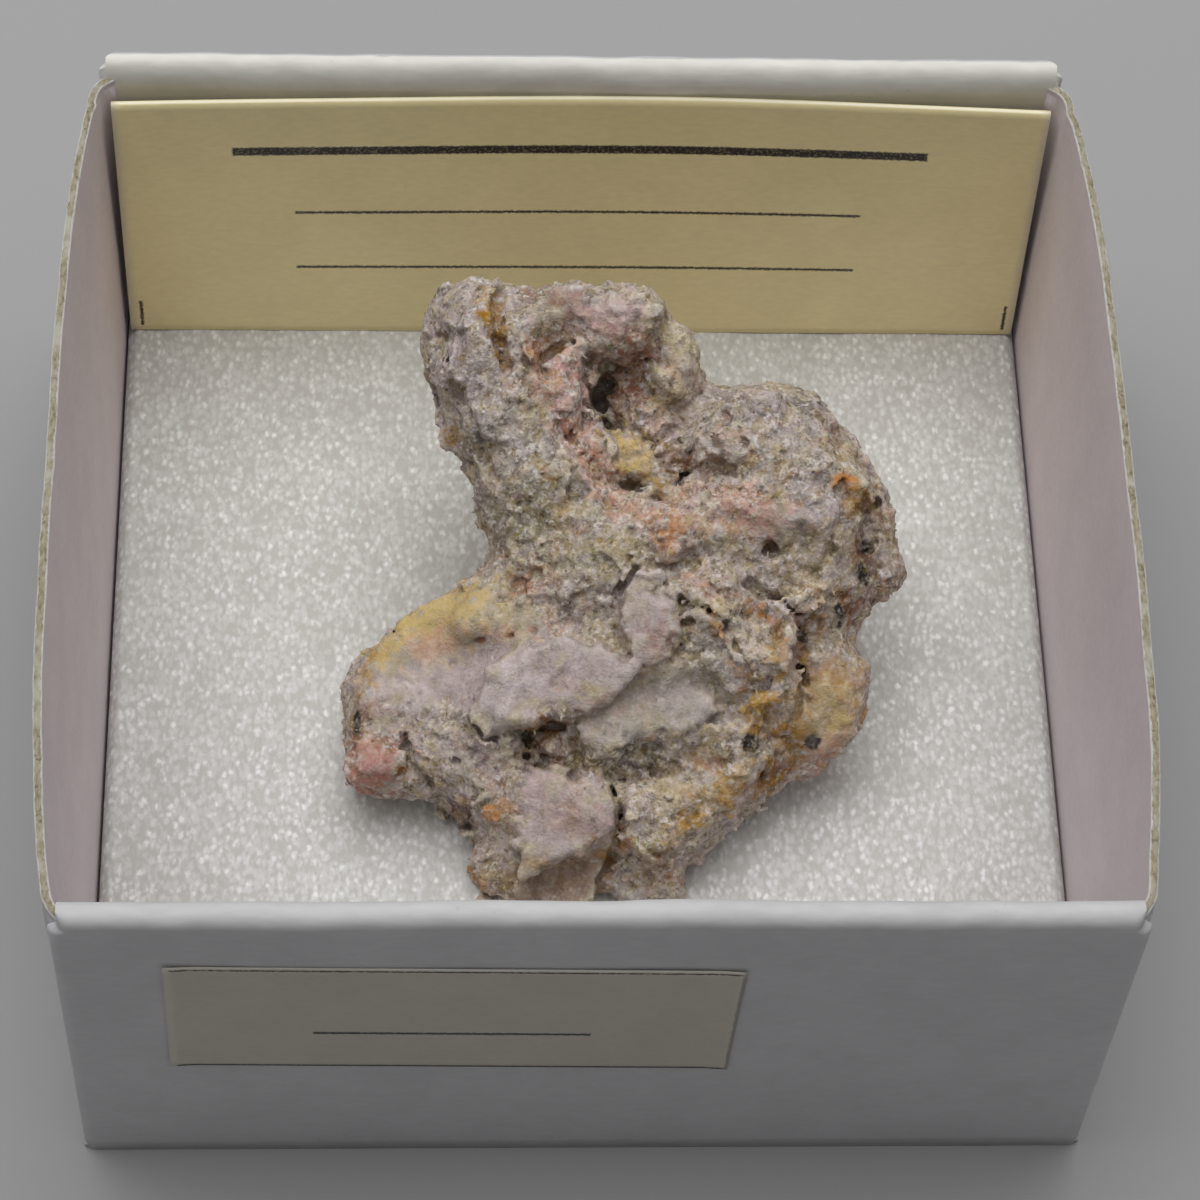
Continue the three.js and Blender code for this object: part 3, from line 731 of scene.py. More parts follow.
def chipped(points, size, slope):
    """Relief of a broken surface: each patch, about size millimetres across, is a flat tilted its own way."""
    counts = np.ceil((HIGH - LOW) / size).astype(int) + 5
    jitter = rng.uniform(0.1, 0.9, (*counts, 3)).astype(np.float32)
    tilt = rng.standard_normal((*counts, 3)).astype(np.float32)
    tilt /= np.linalg.norm(tilt, axis=-1, keepdims=True)
    spot = ((points - LOW) / size + 2).astype(np.float32)
    base = spot.astype(int)
    nearest = np.full(len(points), 9.0, np.float32)
    height = np.zeros(len(points), np.float32)
    for step in np.ndindex(3, 3, 3):
        cell = tuple((base + np.array(step) - 1).T)
        offset = spot - np.stack(cell, -1) - jitter[cell]
        away = np.einsum("ij,ij->i", offset, offset)
        closer = away < nearest
        nearest = np.where(closer, away, nearest)
        height = np.where(closer, np.einsum("ij,ij->i", offset, tilt[cell]), height)
    return height * slope * size


def sampled(field, points):
    """The field's values at points, between its grid points."""
    spot = (points - LOW) / CELL
    base = np.clip(spot.astype(int), 0, np.array(COUNTS) - 2)
    share = np.clip(spot - base, 0, 1)
    total = np.zeros(len(points))
    for corner in np.ndindex(2, 2, 2):
        weight = np.prod(np.where(corner, share, 1 - share), axis=1)
        total += weight * field[tuple((base + corner).T)]
    return total


def smooth_min(one, other, blend):
    """The lesser of two distances, rounded where they meet."""
    near = np.maximum(blend - np.abs(one - other), 0) / blend
    return np.minimum(one, other) - near * near * blend / 4


def smooth_max(one, other, blend):
    """The greater of two distances, rounded where they meet."""
    return -smooth_min(-one, -other, blend)


def outline_distance(outline, a, b):
    """Distance to a closed outline of (a, b) points, below zero inside."""
    nearest, inside = None, None
    for (a0, b0), (a1, b1) in zip(outline, np.roll(outline, -1, axis=0)):
        ea, eb = a1 - a0, b1 - b0
        pa, pb = a - a0, b - b0
        t = np.clip((pa * ea + pb * eb) / (ea * ea + eb * eb), 0, 1)
        away = np.hypot(pa - t * ea, pb - t * eb)
        crossed = ((b0 > b) != (b1 > b)) & (pa < ea * pb / (eb or 1e-9))
        nearest = away if nearest is None else np.minimum(nearest, away)
        inside = crossed if inside is None else inside ^ crossed
    return np.where(inside, -nearest, nearest)


class Block:
    """The stone as distances to its surface on the grid, below zero inside."""

    def __init__(self, node):
        mesh = node.data
        points = np.array([v.co for v in mesh.vertices]) / MM
        mesh.calc_loop_triangles()
        triangles = np.array([t.vertices for t in mesh.loop_triangles], np.uint32)
        rounded, same = np.unique(np.round(points, 4), axis=0, return_inverse=True)
        local = (rounded - STONE_PLACE) @ stone_turn() - LOW
        level = openvdb.FloatGrid.createLevelSetFromPolygons(
            local.astype(np.float32), triangles=same.reshape(-1)[triangles].astype(np.uint32),
            transform=openvdb.createLinearTransform(voxelSize=CELL), halfWidth=14)
        self.field = np.empty(COUNTS, np.float32)
        level.copyToArray(self.field)
        self.field = blurred(self.field, ROUNDING)
        self.find_top()

    def find_top(self):
        """Height of the show face over each column of the grid, and -20 where there is no stone."""
        inside = self.field < 0
        highest = COUNTS[2] - 1 - np.argmax(inside[:, :, ::-1], axis=2)
        self.top = np.where(inside.any(axis=2), LOW[2] + CELL * highest, -20.0)

    def top_at(self, a, b):
        """Height of the show face at one place."""
        i, j = (int(round((v - LOW[k]) / CELL)) for k, v in enumerate((a, b)))
        return self.top[i, j]

    def window(self, low, high):
        """The part of the grid between two corners: its slices and its three coordinates."""
        start = [max(0, int((v - LOW[k]) / CELL)) for k, v in enumerate(low)]
        stop = [min(COUNTS[k], int((v - LOW[k]) / CELL) + 2) for k, v in enumerate(high)]
        part = tuple(slice(s, e) for s, e in zip(start, stop))
        a, b, c = (AXES[k][part[k]] for k in range(3))
        return part, a[:, None, None], b[None, :, None], c[None, None, :]

    def add(self, part, distance, blend):
        """Joins a form to the stone, with a fillet where they meet."""
        self.field[part] = smooth_min(self.field[part], distance.astype(np.float32), blend)

    def cut(self, part, distance, blend):
        """Takes a form out of the stone."""
        self.field[part] = -smooth_min(-self.field[part], distance.astype(np.float32), blend)

    def ball(self, at, half, turn):
        """The window of an ellipsoid and the distance to it."""
        reach = max(half) + 0.5
        part, a, b, c = self.window([v - reach for v in at], [v + reach for v in at])
        angle = math.radians(turn)
        da, db = a - at[0], b - at[1]
        turned = (da * math.cos(angle) + db * math.sin(angle), db * math.cos(angle) - da * math.sin(angle))
        local = (*turned, c - at[2])
        near = np.sqrt(sum((v / h) ** 2 for v, h in zip(local, half)))
        slope = np.sqrt(sum((v / h ** 2) ** 2 for v, h in zip(local, half)))
        return part, near * (near - 1) / np.maximum(slope, 1e-6)

    def lump(self, a, b, half_a, half_b, turn, lift):
        """A rounded lump that stands lift above the surface around it."""
        depth = 0.8 * min(half_a, half_b) + 0.1
        at = (a, b, self.top_at(a, b) + lift - depth)
        part, distance = self.ball(at, (half_a, half_b, depth), turn)
        self.add(part, distance, 0.3)

    def pit(self, a, b, half_a, half_b, turn, depth):
        """A rounded hollow of the given depth."""
        at = (a, b, self.top_at(a, b) - depth * 0.2)
        part, distance = self.ball(at, (half_a, half_b, depth), turn)
        self.cut(part, distance, 0.14)

    def plate(self, outline, lift, slope, thick, warp):
        """A flat slab that lies over the surface: its outline, how far it stands up, and its slopes."""
        outline = np.array(outline)
        middle = outline.mean(axis=0)
        level = np.median([self.top_at(*(middle + 0.6 * (p - middle))) for p in outline]) + lift
        low, high = outline.min(axis=0) - 0.6, outline.max(axis=0) + 0.6
        part, a, b, c = self.window([*low, level - 3.5], [*high, level + 1.8])
        shift = warp[part[0], part[1]][:, :, None]
        rim = outline_distance(outline, a + shift, b + 0.7 * shift)
        plane = level + slope[0] * (a - middle[0]) + slope[1] * (b - middle[1])
        flat = math.sqrt(1 + slope[0] ** 2 + slope[1] ** 2)
        above = (c - plane) / flat
        below = (plane - thick - c) / flat
        distance = smooth_max(smooth_max(rim, above, 0.45), below, 0.1)
        self.add(part, distance, 0.1)

    def furrow(self, path, width, depth, rib=False):
        """A crack, or a rib, that runs along a path of (a, b) points over the surface."""
        spots = [(a, b, self.top_at(a, b)) for a, b in path]
        low = np.min(spots, axis=0) - width - 0.8
        high = np.max(spots, axis=0) + width + 0.8
        part, a, b, c = self.window(low - [0, 0, depth], high + [0, 0, depth])
        nearest = None
        for (a0, b0, c0), (a1, b1, c1) in zip(spots, spots[1:]):
            run = ((a1 - a0) ** 2 + (b1 - b0) ** 2) or 1e-9
            t = np.clip(((a - a0) * (a1 - a0) + (b - b0) * (b1 - b0)) / run, 0, 1)
            flat = np.hypot(a - a0 - t * (a1 - a0), b - b0 - t * (b1 - b0)) / width
            tall = (c - c0 - t * (c1 - c0)) / depth
            away = (np.sqrt(flat ** 2 + tall ** 2) - 1) * min(width, depth)
            nearest = away if nearest is None else np.minimum(nearest, away)
        if rib:
            self.add(part, nearest, 0.25)
        else:
            self.cut(part, nearest, 0.1)

    def crystals(self, spots, sizes):
        """Small blocky crystals, each turned its own way, grown on the surface."""
        turns = rng.standard_normal((len(spots), 3, 3))
        shapes = rng.uniform(0.55, 1.0, (len(spots), 3))
        for spot, size, turn, shape in zip(spots, sizes, turns, shapes):
            axes = np.linalg.qr(turn)[0]
            reach = size * 1.5 + CELL
            part, a, b, c = self.window(spot - reach, spot + reach)
            offset = np.stack(np.broadcast_arrays(a - spot[0], b - spot[1], c - spot[2]), -1) @ axes
            distance = np.max(np.abs(offset) - size * shape, axis=-1)
            self.field[part] = np.minimum(self.field[part], distance.astype(np.float32))


# ---- stone: its forms, in its own frame ----

PLATES = [  # name, outline, height above the ground, slopes, thickness
    ("grey slab", [(-1.8, -4.6), (-0.6, -3.9), (0.5, -3.1), (1.6, -2.6), (2.7, -2.7), (3.5, -3.5),
                   (4.0, -4.4), (3.2, -4.9), (2.4, -5.3), (1.2, -5.2), (-0.2, -5.7), (-1.5, -5.6)],
     0.1, (0.02, -0.3), 0.8),
    ("lilac plate", [(-5.3, -2.7), (-4.0, -1.9), (-2.4, -1.6), (-0.8, -1.7), (0.5, -2.2), (0.7, -2.7),
                     (-0.2, -3.9), (-1.5, -4.6), (-1.9, -4.2), (-2.3, -4.2), (-3.3, -4.3), (-4.0, -4.7),
                     (-5.4, -5.6), (-5.9, -4.6), (-5.7, -3.6)], 0.18, (0.09, -0.1), 0.9),
    ("lilac finger", [(0.3, 1.0), (0.7, 1.45), (1.3, 0.9), (1.6, 0.1), (2.2, -0.2), (2.35, -1.3), (1.9, -2.3),
                      (1.0, -2.7), (0.2, -2.1), (-0.1, -1.3), (0.0, -0.3)], 0.35, (0.05, -0.1), 0.8),
    ("lower plate", [(-3.6, -6.9), (-3.0, -6.55), (-1.7, -7.0), (-0.7, -7.6), (-0.15, -8.2), (-0.15, -8.8),
                     (-1.1, -9.1), (-1.2, -9.9), (-3.0, -10.6), (-3.9, -11.2), (-4.2, -9.6), (-4.0, -8.0)],
     0.3, (0.08, -0.08), 1.0),
    ("step below", [(-1.1, -9.9), (-0.6, -9.3), (-0.3, -10.0), (-0.9, -11.3), (-1.6, -13.0), (-4.2, -13.0),
                    (-4.1, -11.4), (-3.0, -10.7)], 0.0, (0.1, -0.2), 1.0),
    ("fan plate", [(4.2, -0.95), (4.8, -0.65), (5.85, -1.9), (5.85, -2.9), (5.4, -3.3), (4.6, -1.95)],
     0.15, (-0.05, 0.05), 0.6),
    ("right shoulder flake", [(6.9, -0.3), (8.4, 0.1), (8.8, 1.4), (8.0, 2.2), (6.9, 1.8), (6.5, 0.6)],
     0.1, (-0.2, 0.05), 0.6),
    ("pillar flake", [(-5.9, -6.2), (-4.9, -5.9), (-4.4, -6.8), (-4.6, -7.9), (-5.6, -8.1), (-6.0, -7.2)],
     0.2, (0.1, -0.1), 0.7),
]
FILLS = [  # ground that rises inside the hollows: middle, half sizes, turn
    (0.4, 8.5, -2.7, 1.4, 2.4, 2.3, -6), (0.6, 9.5, -1.7, 1.0, 1.1, 1.7, 0),
    (0.9, 7.4, -1.7, 0.9, 1.2, 1.9, 0), (-2.2, 8.2, -0.6, 1.0, 2.8, 2.3, 4),
    (-0.9, 5.9, -0.4, 0.8, 1.6, 2.0, 30), (0.1, 10.7, 0.1, 1.6, 1.0, 1.5, 0),
    (2.0, 9.4, -1.1, 1.2, 1.7, 1.6, 20), (0.2, 6.1, -0.6, 0.9, 0.8, 1.5, 0),
    (0.9, 5.3, -0.5, 1.0, 0.9, 1.7, 0), (1.6, 4.8, -0.3, 0.7, 0.6, 1.7, 0),
    (2.9, 5.8, -1.1, 1.2, 0.7, 1.7, 0), (-2.7, -5.8, 0.4, 1.3, 1.5, 2.1, 10),
    (-2.0, -6.6, -0.1, 0.7, 0.7, 2.2, 0), (1.1, -6.2, 0.9, 2.0, 0.9, 1.5, 12),
    (-0.2, -9.3, 0.3, 0.8, 1.8, 1.2, 4),
]
LUMPS = [  # middle, half sizes, turn, lift
    (-5.7, 10.4, 0.45, 0.4, 0, 0.2), (-2.2, 11.8, 1.1, 0.75, 0, 0.3), (-0.2, 11.2, 1.25, 1.0, 20, 0.3),
    (0.7, 12.0, 0.5, 0.35, -30, 0.25), (-6.8, 6.6, 0.4, 0.35, 0, 0.3), (-6.4, 9.1, 0.6, 0.5, 30, 0.15),
    (2.0, 2.0, 0.6, 0.45, 20, 0.3), (3.6, 2.6, 0.95, 0.5, 8, 0.3), (5.0, 3.6, 1.1, 0.6, -10, 0.25),
    (9.2, 4.7, 0.8, 0.5, -30, 0.35), (10.7, 1.4, 0.7, 1.0, 10, 0.25), (-9.8, -6.5, 1.2, 1.0, 0, 0.4),
    (-4.9, -8.3, 0.8, 0.4, 10, 0.2), (-6.3, -8.7, 0.4, 0.8, 20, 0.3), (0.6, -8.5, 0.7, 0.95, 0, 0.3),
    (2.6, -7.9, 1.6, 0.8, 24, 0.25), (1.0, -9.7, 0.5, 0.35, 10, 0.25), (8.3, -4.3, 1.5, 2.3, -18, 0.3),
    (-7.0, -0.6, 2.2, 0.8, 24, 0.25), (-8.6, -2.0, 1.4, 0.9, 40, 0.2), (-8.2, -4.3, 1.5, 0.9, 0, 0.2),
    (-4.2, 8.0, 0.7, 2.6, 14, 0.2), (5.6, 7.6, 1.6, 0.9, -20, 0.25), (2.2, 10.0, 0.9, 1.2, 20, 0.2),
    (-3.4, 0.2, 1.0, 0.6, 20, 0.2), (3.4, -0.4, 0.8, 1.1, 40, 0.3), (7.4, 6.8, 1.0, 0.8, -40, 0.2),
]
RIBS = [  # path, half width, height
    ([(2.4, -5.6), (3.4, -5.15), (4.2, -5.1), (5.0, -5.3)], 0.3, 0.4),
    ([(3.5, -0.7), (4.2, -1.75), (5.0, -3.0), (5.4, -3.6), (5.4, -5.0)], 0.13, 0.22),
    ([(3.7, 0.8), (5.85, -0.3), (6.7, -0.95), (6.35, -2.6), (6.0, -3.8)], 0.28, 0.34),
    ([(2.2, 0.35), (3.2, 0.1), (4.2, -0.4)], 0.22, 0.32),
    ([(5.9, 0.5), (7.2, 0.4), (8.6, 0.6)], 0.1, 0.24), ([(6.2, 0.1), (7.4, 0.0), (8.4, 0.2)], 0.09, 0.22),
    ([(6.5, -0.3), (7.6, -0.35), (8.3, -0.1)], 0.1, 0.22),
    ([(1.2, 4.3), (2.6, 4.2), (4.0, 4.5), (5.2, 4.4)], 0.26, 0.28),
    ([(-1.1, 9.6), (-1.4, 8.1), (-0.9, 6.7), (-0.2, 5.5), (0.3, 4.9)], 0.22, 0.3),
    ([(5.4, -8.4), (4.3, -9.4), (3.2, -10.3)], 0.3, 0.3),
    ([(7.6, -2.9), (8.8, -3.7), (9.2, -5.2)], 0.35, 0.25),
]
PITS = [  # middle, half sizes, turn, depth
    (-0.8, 7.9, 0.6, 1.2, -10, 0.85), (-0.4, 8.8, 0.5, 0.5, 0, 0.39), (-2.6, 10.0, 0.25, 0.25, 0, 0.19),
    (-2.0, 6.6, 0.2, 0.32, 0, 0.22), (1.6, 4.1, 0.24, 0.2, 0, 0.22), (0.45, 4.55, 0.5, 0.24, -20, 0.5),
    (2.5, 5.0, 0.8, 0.25, 8, 0.35), (5.9, 2.1, 0.22, 0.24, 0, 0.55), (3.3, 4.4, 0.2, 0.18, 0, 0.17),
    (-4.1, 0.55, 0.4, 0.3, 30, 0.25), (-3.5, 1.05, 0.25, 0.2, 0, 0.19), (-4.6, 0.0, 0.25, 0.18, 0, 0.17),
    (-5.6, -1.6, 0.22, 0.14, 0, 0.17), (-4.35, -1.4, 0.25, 0.14, 10, 0.17), (-3.5, -1.3, 0.12, 0.12, 0, 0.14),
    (-6.7, -2.55, 0.12, 0.1, 0, 0.14), (-6.5, -6.3, 0.25, 0.18, 0, 0.19), (-5.2, -5.6, 0.35, 0.3, 20, 0.28),
    (2.6, -0.85, 0.35, 0.22, 10, 0.28), (0.2, -2.25, 0.3, 0.2, 0, 0.22), (2.4, -1.9, 0.16, 0.2, 0, 0.17),
    (0.67, -5.5, 0.1, 0.1, 0, 0.14), (-2.7, -4.9, 0.7, 0.3, 4, 0.28), (-2.9, -6.5, 0.4, 0.5, 0, 0.14),
    (3.9, -6.5, 0.55, 0.3, 10, 0.22), (5.7, -7.1, 0.35, 0.5, 20, 0.28), (0.4, -5.7, 1.5, 0.15, 14, 0.11),
    (7.1, -3.8, 0.3, 0.9, -10, 0.7), (9.8, 3.2, 0.4, 0.4, 0, 0.22), (9.4, 3.9, 0.3, 0.3, 0, 0.17),
    (10.3, 4.0, 0.25, 0.3, 0, 0.17), (6.9, 5.2, 0.3, 0.2, 0, 0.14), (4.9, 6.2, 0.3, 0.25, 0, 0.17),
    (-8.6, -6.9, 0.35, 0.25, 20, 0.22), (3.4, -8.1, 0.3, 0.2, 0, 0.17),
]
CRACKS = [  # path, half width, depth
    ([(-7.8, -4.4), (-7.2, -4.25), (-6.75, -3.75)], 0.07, 0.3),
    ([(-6.5, -4.95), (-6.0, -5.2), (-5.7, -5.5)], 0.07, 0.3),
    ([(-0.35, -7.4), (-0.05, -8.1), (0.0, -8.8), (-0.15, -9.6), (-0.45, -10.4), (-0.9, -11.2)], 0.16, 0.9),
    ([(3.9, -0.6), (4.5, -1.7), (5.1, -3.1)], 0.1, 0.3),
    ([(-7.6, -7.2), (-8.4, -6.6), (-8.6, -5.4)], 0.2, 0.4),
    ([(-4.9, 12.3), (-5.0, 11.2), (-4.9, 10.2), (-4.6, 9.3)], 0.3, 0.45),
    ([(0.6, 1.3), (-0.2, 0.1), (-0.3, -1.2), (0.1, -2.0)], 0.14, 0.4),
    ([(2.4, 0.2), (2.5, -1.4), (2.0, -2.5)], 0.1, 0.2),
    ([(5.0, 0.7), (5.9, 0.1), (7.0, -0.4)], 0.16, 0.35),
    ([(2.3, 0.0), (3.3, -0.3), (4.1, -0.8)], 0.1, 0.4),
    ([(3.9, -0.4), (4.9, -0.6), (5.9, -1.3)], 0.08, 0.3),
]
# Dark crystals that sit in the surface: middle, half sizes, turn.
DARK_CRYSTALS = [
    (9.8, 2.15, 0.22, 0.22, 0), (9.7, 1.05, 0.2, 0.42, 20), (8.72, -0.4, 0.15, 0.26, 20),
    (8.8, -0.95, 0.12, 0.11, 0), (5.85, -3.2, 0.1, 0.26, 0), (5.15, -5.65, 0.3, 0.32, 0),
    (7.65, -5.6, 0.27, 0.27, 0), (7.2, -1.35, 0.16, 0.34, 10), (-10.5, -4.9, 0.12, 0.4, 0),
    (2.4, 6.45, 0.18, 0.16, 0), (2.7, 6.0, 0.12, 0.12, 0), (-6.15, -9.0, 0.14, 0.18, 0),
]
SMOOTH = [  # calmer parts of the surface: middle, half sizes, turn, roughness left
    (-7.4, -2.6, 3.4, 1.7, 24, 0.3), (-7.0, -0.7, 2.4, 0.9, 26, 0.3), (-4.4, -1.4, 1.6, 0.9, 16, 0.45),
    (-9.8, -6.5, 1.1, 0.9, 0, 0.4), (8.4, -4.2, 1.4, 2.2, -18, 0.4), (6.0, 3.0, 1.3, 0.9, 0, 0.5),
    (-0.2, 11.3, 1.3, 0.9, 0, 0.5), (-2.2, 11.8, 0.9, 0.6, 0, 0.45), (-2.0, -12.2, 2.5, 1.5, 0, 0.45),
]
LUMP_SIZES = (0.08, 0.15, 0.32, 0.75)
LUMP_HEIGHTS = (0.022, 0.034, 0.05)  # between one size and the next
CHIPS = [(1.8, 0.15), (0.8, 0.16), (0.42, 0.14)]  # size, slope
SKIN = 0.6  # how deep the relief reaches on each side of the plain form
RAGGED_SIZES, RAGGED_DEPTHS = (0.12, 0.3, 0.7), (0.07, 0.12)  # of the plates' edges
CRUSTY_PLATES = ("fan plate", "right shoulder flake", "pillar flake")
CRYSTALS = {"count": 9000, "least": 0.06, "most": 0.12}  # how many are tried, and their half sizes
DRUSES = [  # crystal-lined parts: middle, half sizes, count, crystal size
    (0.0, 6.4, 0.5, 0.5, 40, 0.16), (0.6, 5.7, 0.7, 0.6, 70, 0.17), (1.3, 4.9, 0.5, 0.5, 36, 0.15),
    (0.5, 8.5, 0.8, 1.5, 90, 0.17), (2.6, 5.6, 1.1, 0.6, 70, 0.18), (-2.8, -5.6, 0.9, 0.8, 60, 0.15),
    (0.0, 11.0, 1.2, 1.0, 60, 0.15), (10.2, 2.0, 1.0, 1.6, 90, 0.18),
]
MOST_FACES = 190000


def carved_stone():
    """The stone's surface: points, triangles, and the layers and grid that its colours are read from."""
    block = Block(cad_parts["smithsonite"])
    footprint = COUNTS[:2]
    warp = sum(depth * layer for depth, layer in zip(RAGGED_DEPTHS, lump_layers(RAGGED_SIZES, footprint)))
    for a, b, c, half_a, half_b, half_c, turn in FILLS:
        part, distance = block.ball((a, b, c), (half_a, half_b, half_c), turn)
        block.add(part, distance, 0.35)
    block.find_top()
    for a, b, half_a, half_b, turn, lift in LUMPS:
        block.lump(a, b, half_a, half_b, turn, lift)
    block.find_top()
    for _, outline, lift, slope, thick in PLATES:
        block.plate(outline, lift, slope, thick, warp)
    block.find_top()
    for path, width, height in RIBS:
        block.furrow(path, width, height, rib=True)
    for path, width, depth in CRACKS:
        block.furrow(path, width, depth)
    for a, b, half_a, half_b, turn, depth in PITS:
        block.pit(a, b, half_a, half_b, turn, depth)
    block.find_top()

    # How rough the surface is: 1 on the crusty parts, and less on the plates and the calmer parts.
    a, b = np.meshgrid(AXES[0], AXES[1], indexing="ij")
    crust = np.ones(footprint)
    for name, outline, *_ in PLATES:
        if name not in CRUSTY_PLATES:
            inside = outline_distance(np.array(outline), a + warp, b + 0.7 * warp)
            crust = np.minimum(crust, 0.4 + 0.6 * eased((inside + 0.1) / 0.35))
    for at_a, at_b, half_a, half_b, turn, calm in SMOOTH:
        near = ellipse(a, b, at_a, at_b, half_a, half_b, turn) + warp
        crust = np.minimum(crust, calm + (1 - calm) * eased((near - 0.7) / 0.5))
    layers = lump_layers(LUMP_SIZES, COUNTS)
    # The surface billows in small rounded lumps with creases between them.
    relief = sum(height * (np.abs(layer) - 0.8) for height, layer in zip(LUMP_HEIGHTS, layers))
    skin = np.nonzero(np.abs(block.field) < SKIN)
    spots = LOW + CELL * np.stack(skin, -1)
    spots += np.stack([layers[1][skin], layers[2][skin], -layers[1][skin]], -1) * 0.07
    relief[skin] += sum(chipped(spots, size, slope) for size, slope in CHIPS)
    block.field -= (relief * crust[:, :, None]).astype(np.float32)

    # Loose crystals stand on the crusty parts, and close together where the stone is lined with them.
    near_surface = np.argwhere(np.abs(block.field) < 0.6 * CELL)
    spots = near_surface[rng.integers(0, len(near_surface), CRYSTALS["count"])]
    wanted = rng.uniform(0, 1, len(spots)) < crust[spots[:, 0], spots[:, 1]] ** 3
    spots = LOW + CELL * spots[wanted] + rng.uniform(-0.07, 0.07, (wanted.sum(), 3))
    sizes = CRYSTALS["least"] * (CRYSTALS["most"] / CRYSTALS["least"]) ** rng.uniform(0, 1, len(spots)) ** 1.7
    block.crystals(spots, sizes)
    for at_a, at_b, half_a, half_b, count, size in DRUSES:
        around = rng.uniform(-1, 1, (count, 2)) * (half_a, half_b) + (at_a, at_b)
        tall = np.array([block.top_at(p, q) for p, q in around]) - rng.uniform(0, 0.15, count)
        block.crystals(np.column_stack([around, tall]), size * rng.uniform(0.6, 1.15, count))
    block.find_top()
    for at_a, at_b, half_a, half_b, turn in DARK_CRYSTALS:
        block.pit(at_a, at_b, half_a * 1.05, half_b * 1.05, turn, 0.2)
        centre = (at_a, at_b, block.top_at(at_a, at_b) - 0.06)
        part, distance = block.ball(centre, (half_a * 0.9, half_b * 0.9, 0.24), turn)
        block.add(part, distance, 0.02)

    # The feet are flattened where the foam carries them.
    up = stone_turn()[2]
    wide, long, tall = np.ix_(*AXES)
    height = wide * up[0] + long * up[1] + tall * up[2]
    under = BED - STONE_PLACE[2] - height
    block.field = -smooth_min(-block.field, -under.astype(np.float32), 0.15)

    level = openvdb.FloatGrid(3.0)
    level.transform = openvdb.createLinearTransform(voxelSize=CELL)
    level.copyFromArray(np.clip(block.field, -2.9, 2.9))
    points, _, quads = level.convertToPolygons(0.0, 0.0)
    points, faces = thinned(*largest_part(points + LOW, quads))
    return points, faces, block, layers, crust


def ellipse(a, b, at_a, at_b, half_a, half_b, turn):
    """How far (a, b) is from an ellipse's middle, as a share of its half sizes."""
    angle = math.radians(turn)
    along = (a - at_a) * math.cos(angle) + (b - at_b) * math.sin(angle)
    aside = (b - at_b) * math.cos(angle) - (a - at_a) * math.sin(angle)
    return np.hypot(along / half_a, aside / half_b)


def largest_part(points, faces):
    """Leaves out crumbs that float free of the stone."""
    label = np.arange(len(points))
    edges = np.concatenate([faces[:, [k, (k + 1) % faces.shape[1]]] for k in range(faces.shape[1])])
    while True:
        lowest = np.minimum(label[edges[:, 0]], label[edges[:, 1]])
        before = label.copy()
        np.minimum.at(label, edges[:, 0], lowest)
        np.minimum.at(label, edges[:, 1], lowest)
        label = label[label]
        if (label == before).all():
            break
    names, sizes = np.unique(label, return_counts=True)
    kept = label == names[np.argmax(sizes)]
    renumbered = np.cumsum(kept) - 1
    return points[kept], renumbered[faces[kept[faces[:, 0]]]]


def thinned(points, faces):
    """The same surface with at most MOST_FACES triangles, where flat parts give up theirs first."""
    mesh = bpy.data.meshes.new("rough stone")
    mesh.from_pydata(points.tolist(), [], faces.tolist())
    draft = bpy.data.objects.new("rough stone", mesh)
    bpy.context.scene.collection.objects.link(draft)
    fewer = draft.modifiers.new("fewer faces", "DECIMATE")
    fewer.ratio = min(1.0, MOST_FACES / (2 * len(faces)))
    result = draft.evaluated_get(bpy.context.evaluated_depsgraph_get()).to_mesh()
    result.calc_loop_triangles()
    coordinates = np.empty(3 * len(result.vertices), np.float32)
    result.vertices.foreach_get("co", coordinates)
    corners = np.empty(3 * len(result.loop_triangles), np.int32)
    result.loop_triangles.foreach_get("vertices", corners)
    bpy.data.objects.remove(draft)
    bpy.data.meshes.remove(mesh)
    return coordinates.reshape(-1, 3).astype(float), corners.reshape(-1, 3)


# ---- stone: its colours ----

PIGMENTS = {
    "lilac": (161, 151, 156), "pale lilac": (177, 169, 174), "mauve": (140, 115, 113),
    "pink": (176, 148, 150), "rose": (150, 112, 108), "salmon": (172, 141, 131), "cream": (170, 157, 134),
    "pale cream": (184, 174, 156), "yellow": (180, 162, 124), "grey": (146, 141, 138), "ash": (86, 84, 86),
    "taupe": (124, 103, 92), "ochre": (132, 98, 38), "amber": (154, 124, 78), "orange": (162, 112, 72),
    "rust": (108, 64, 38), "brown": (86, 57, 34), "olive": (120, 107, 68), "umber": (56, 33, 18),
    "plum": (80, 60, 64), "black": (38, 31, 26), "sage": (140, 136, 118), "white": (196, 190, 182),
}
# Stains that show through the mottling and the white grains; umber and brown also serve as painted shade in
# some hollows.
CLEAR_STAINS = ("ochre", "amber", "orange", "rust", "brown", "umber", "yellow", "plum", "black")
PIGMENT_GAIN = np.array([1.2, 1.18, 1.09])  # red, green and blue
RICHNESS = 1.3  # how much further from grey a pigment is than its swatch


def pigment(name):
    """A pigment as a linear colour, a little stronger than its swatch."""
    shade = np.array(paint(*PIGMENTS[name], PIGMENT_GAIN)[:3])
    return np.clip(shade.mean() + (shade - shade.mean()) * RICHNESS, 0.002, 1)


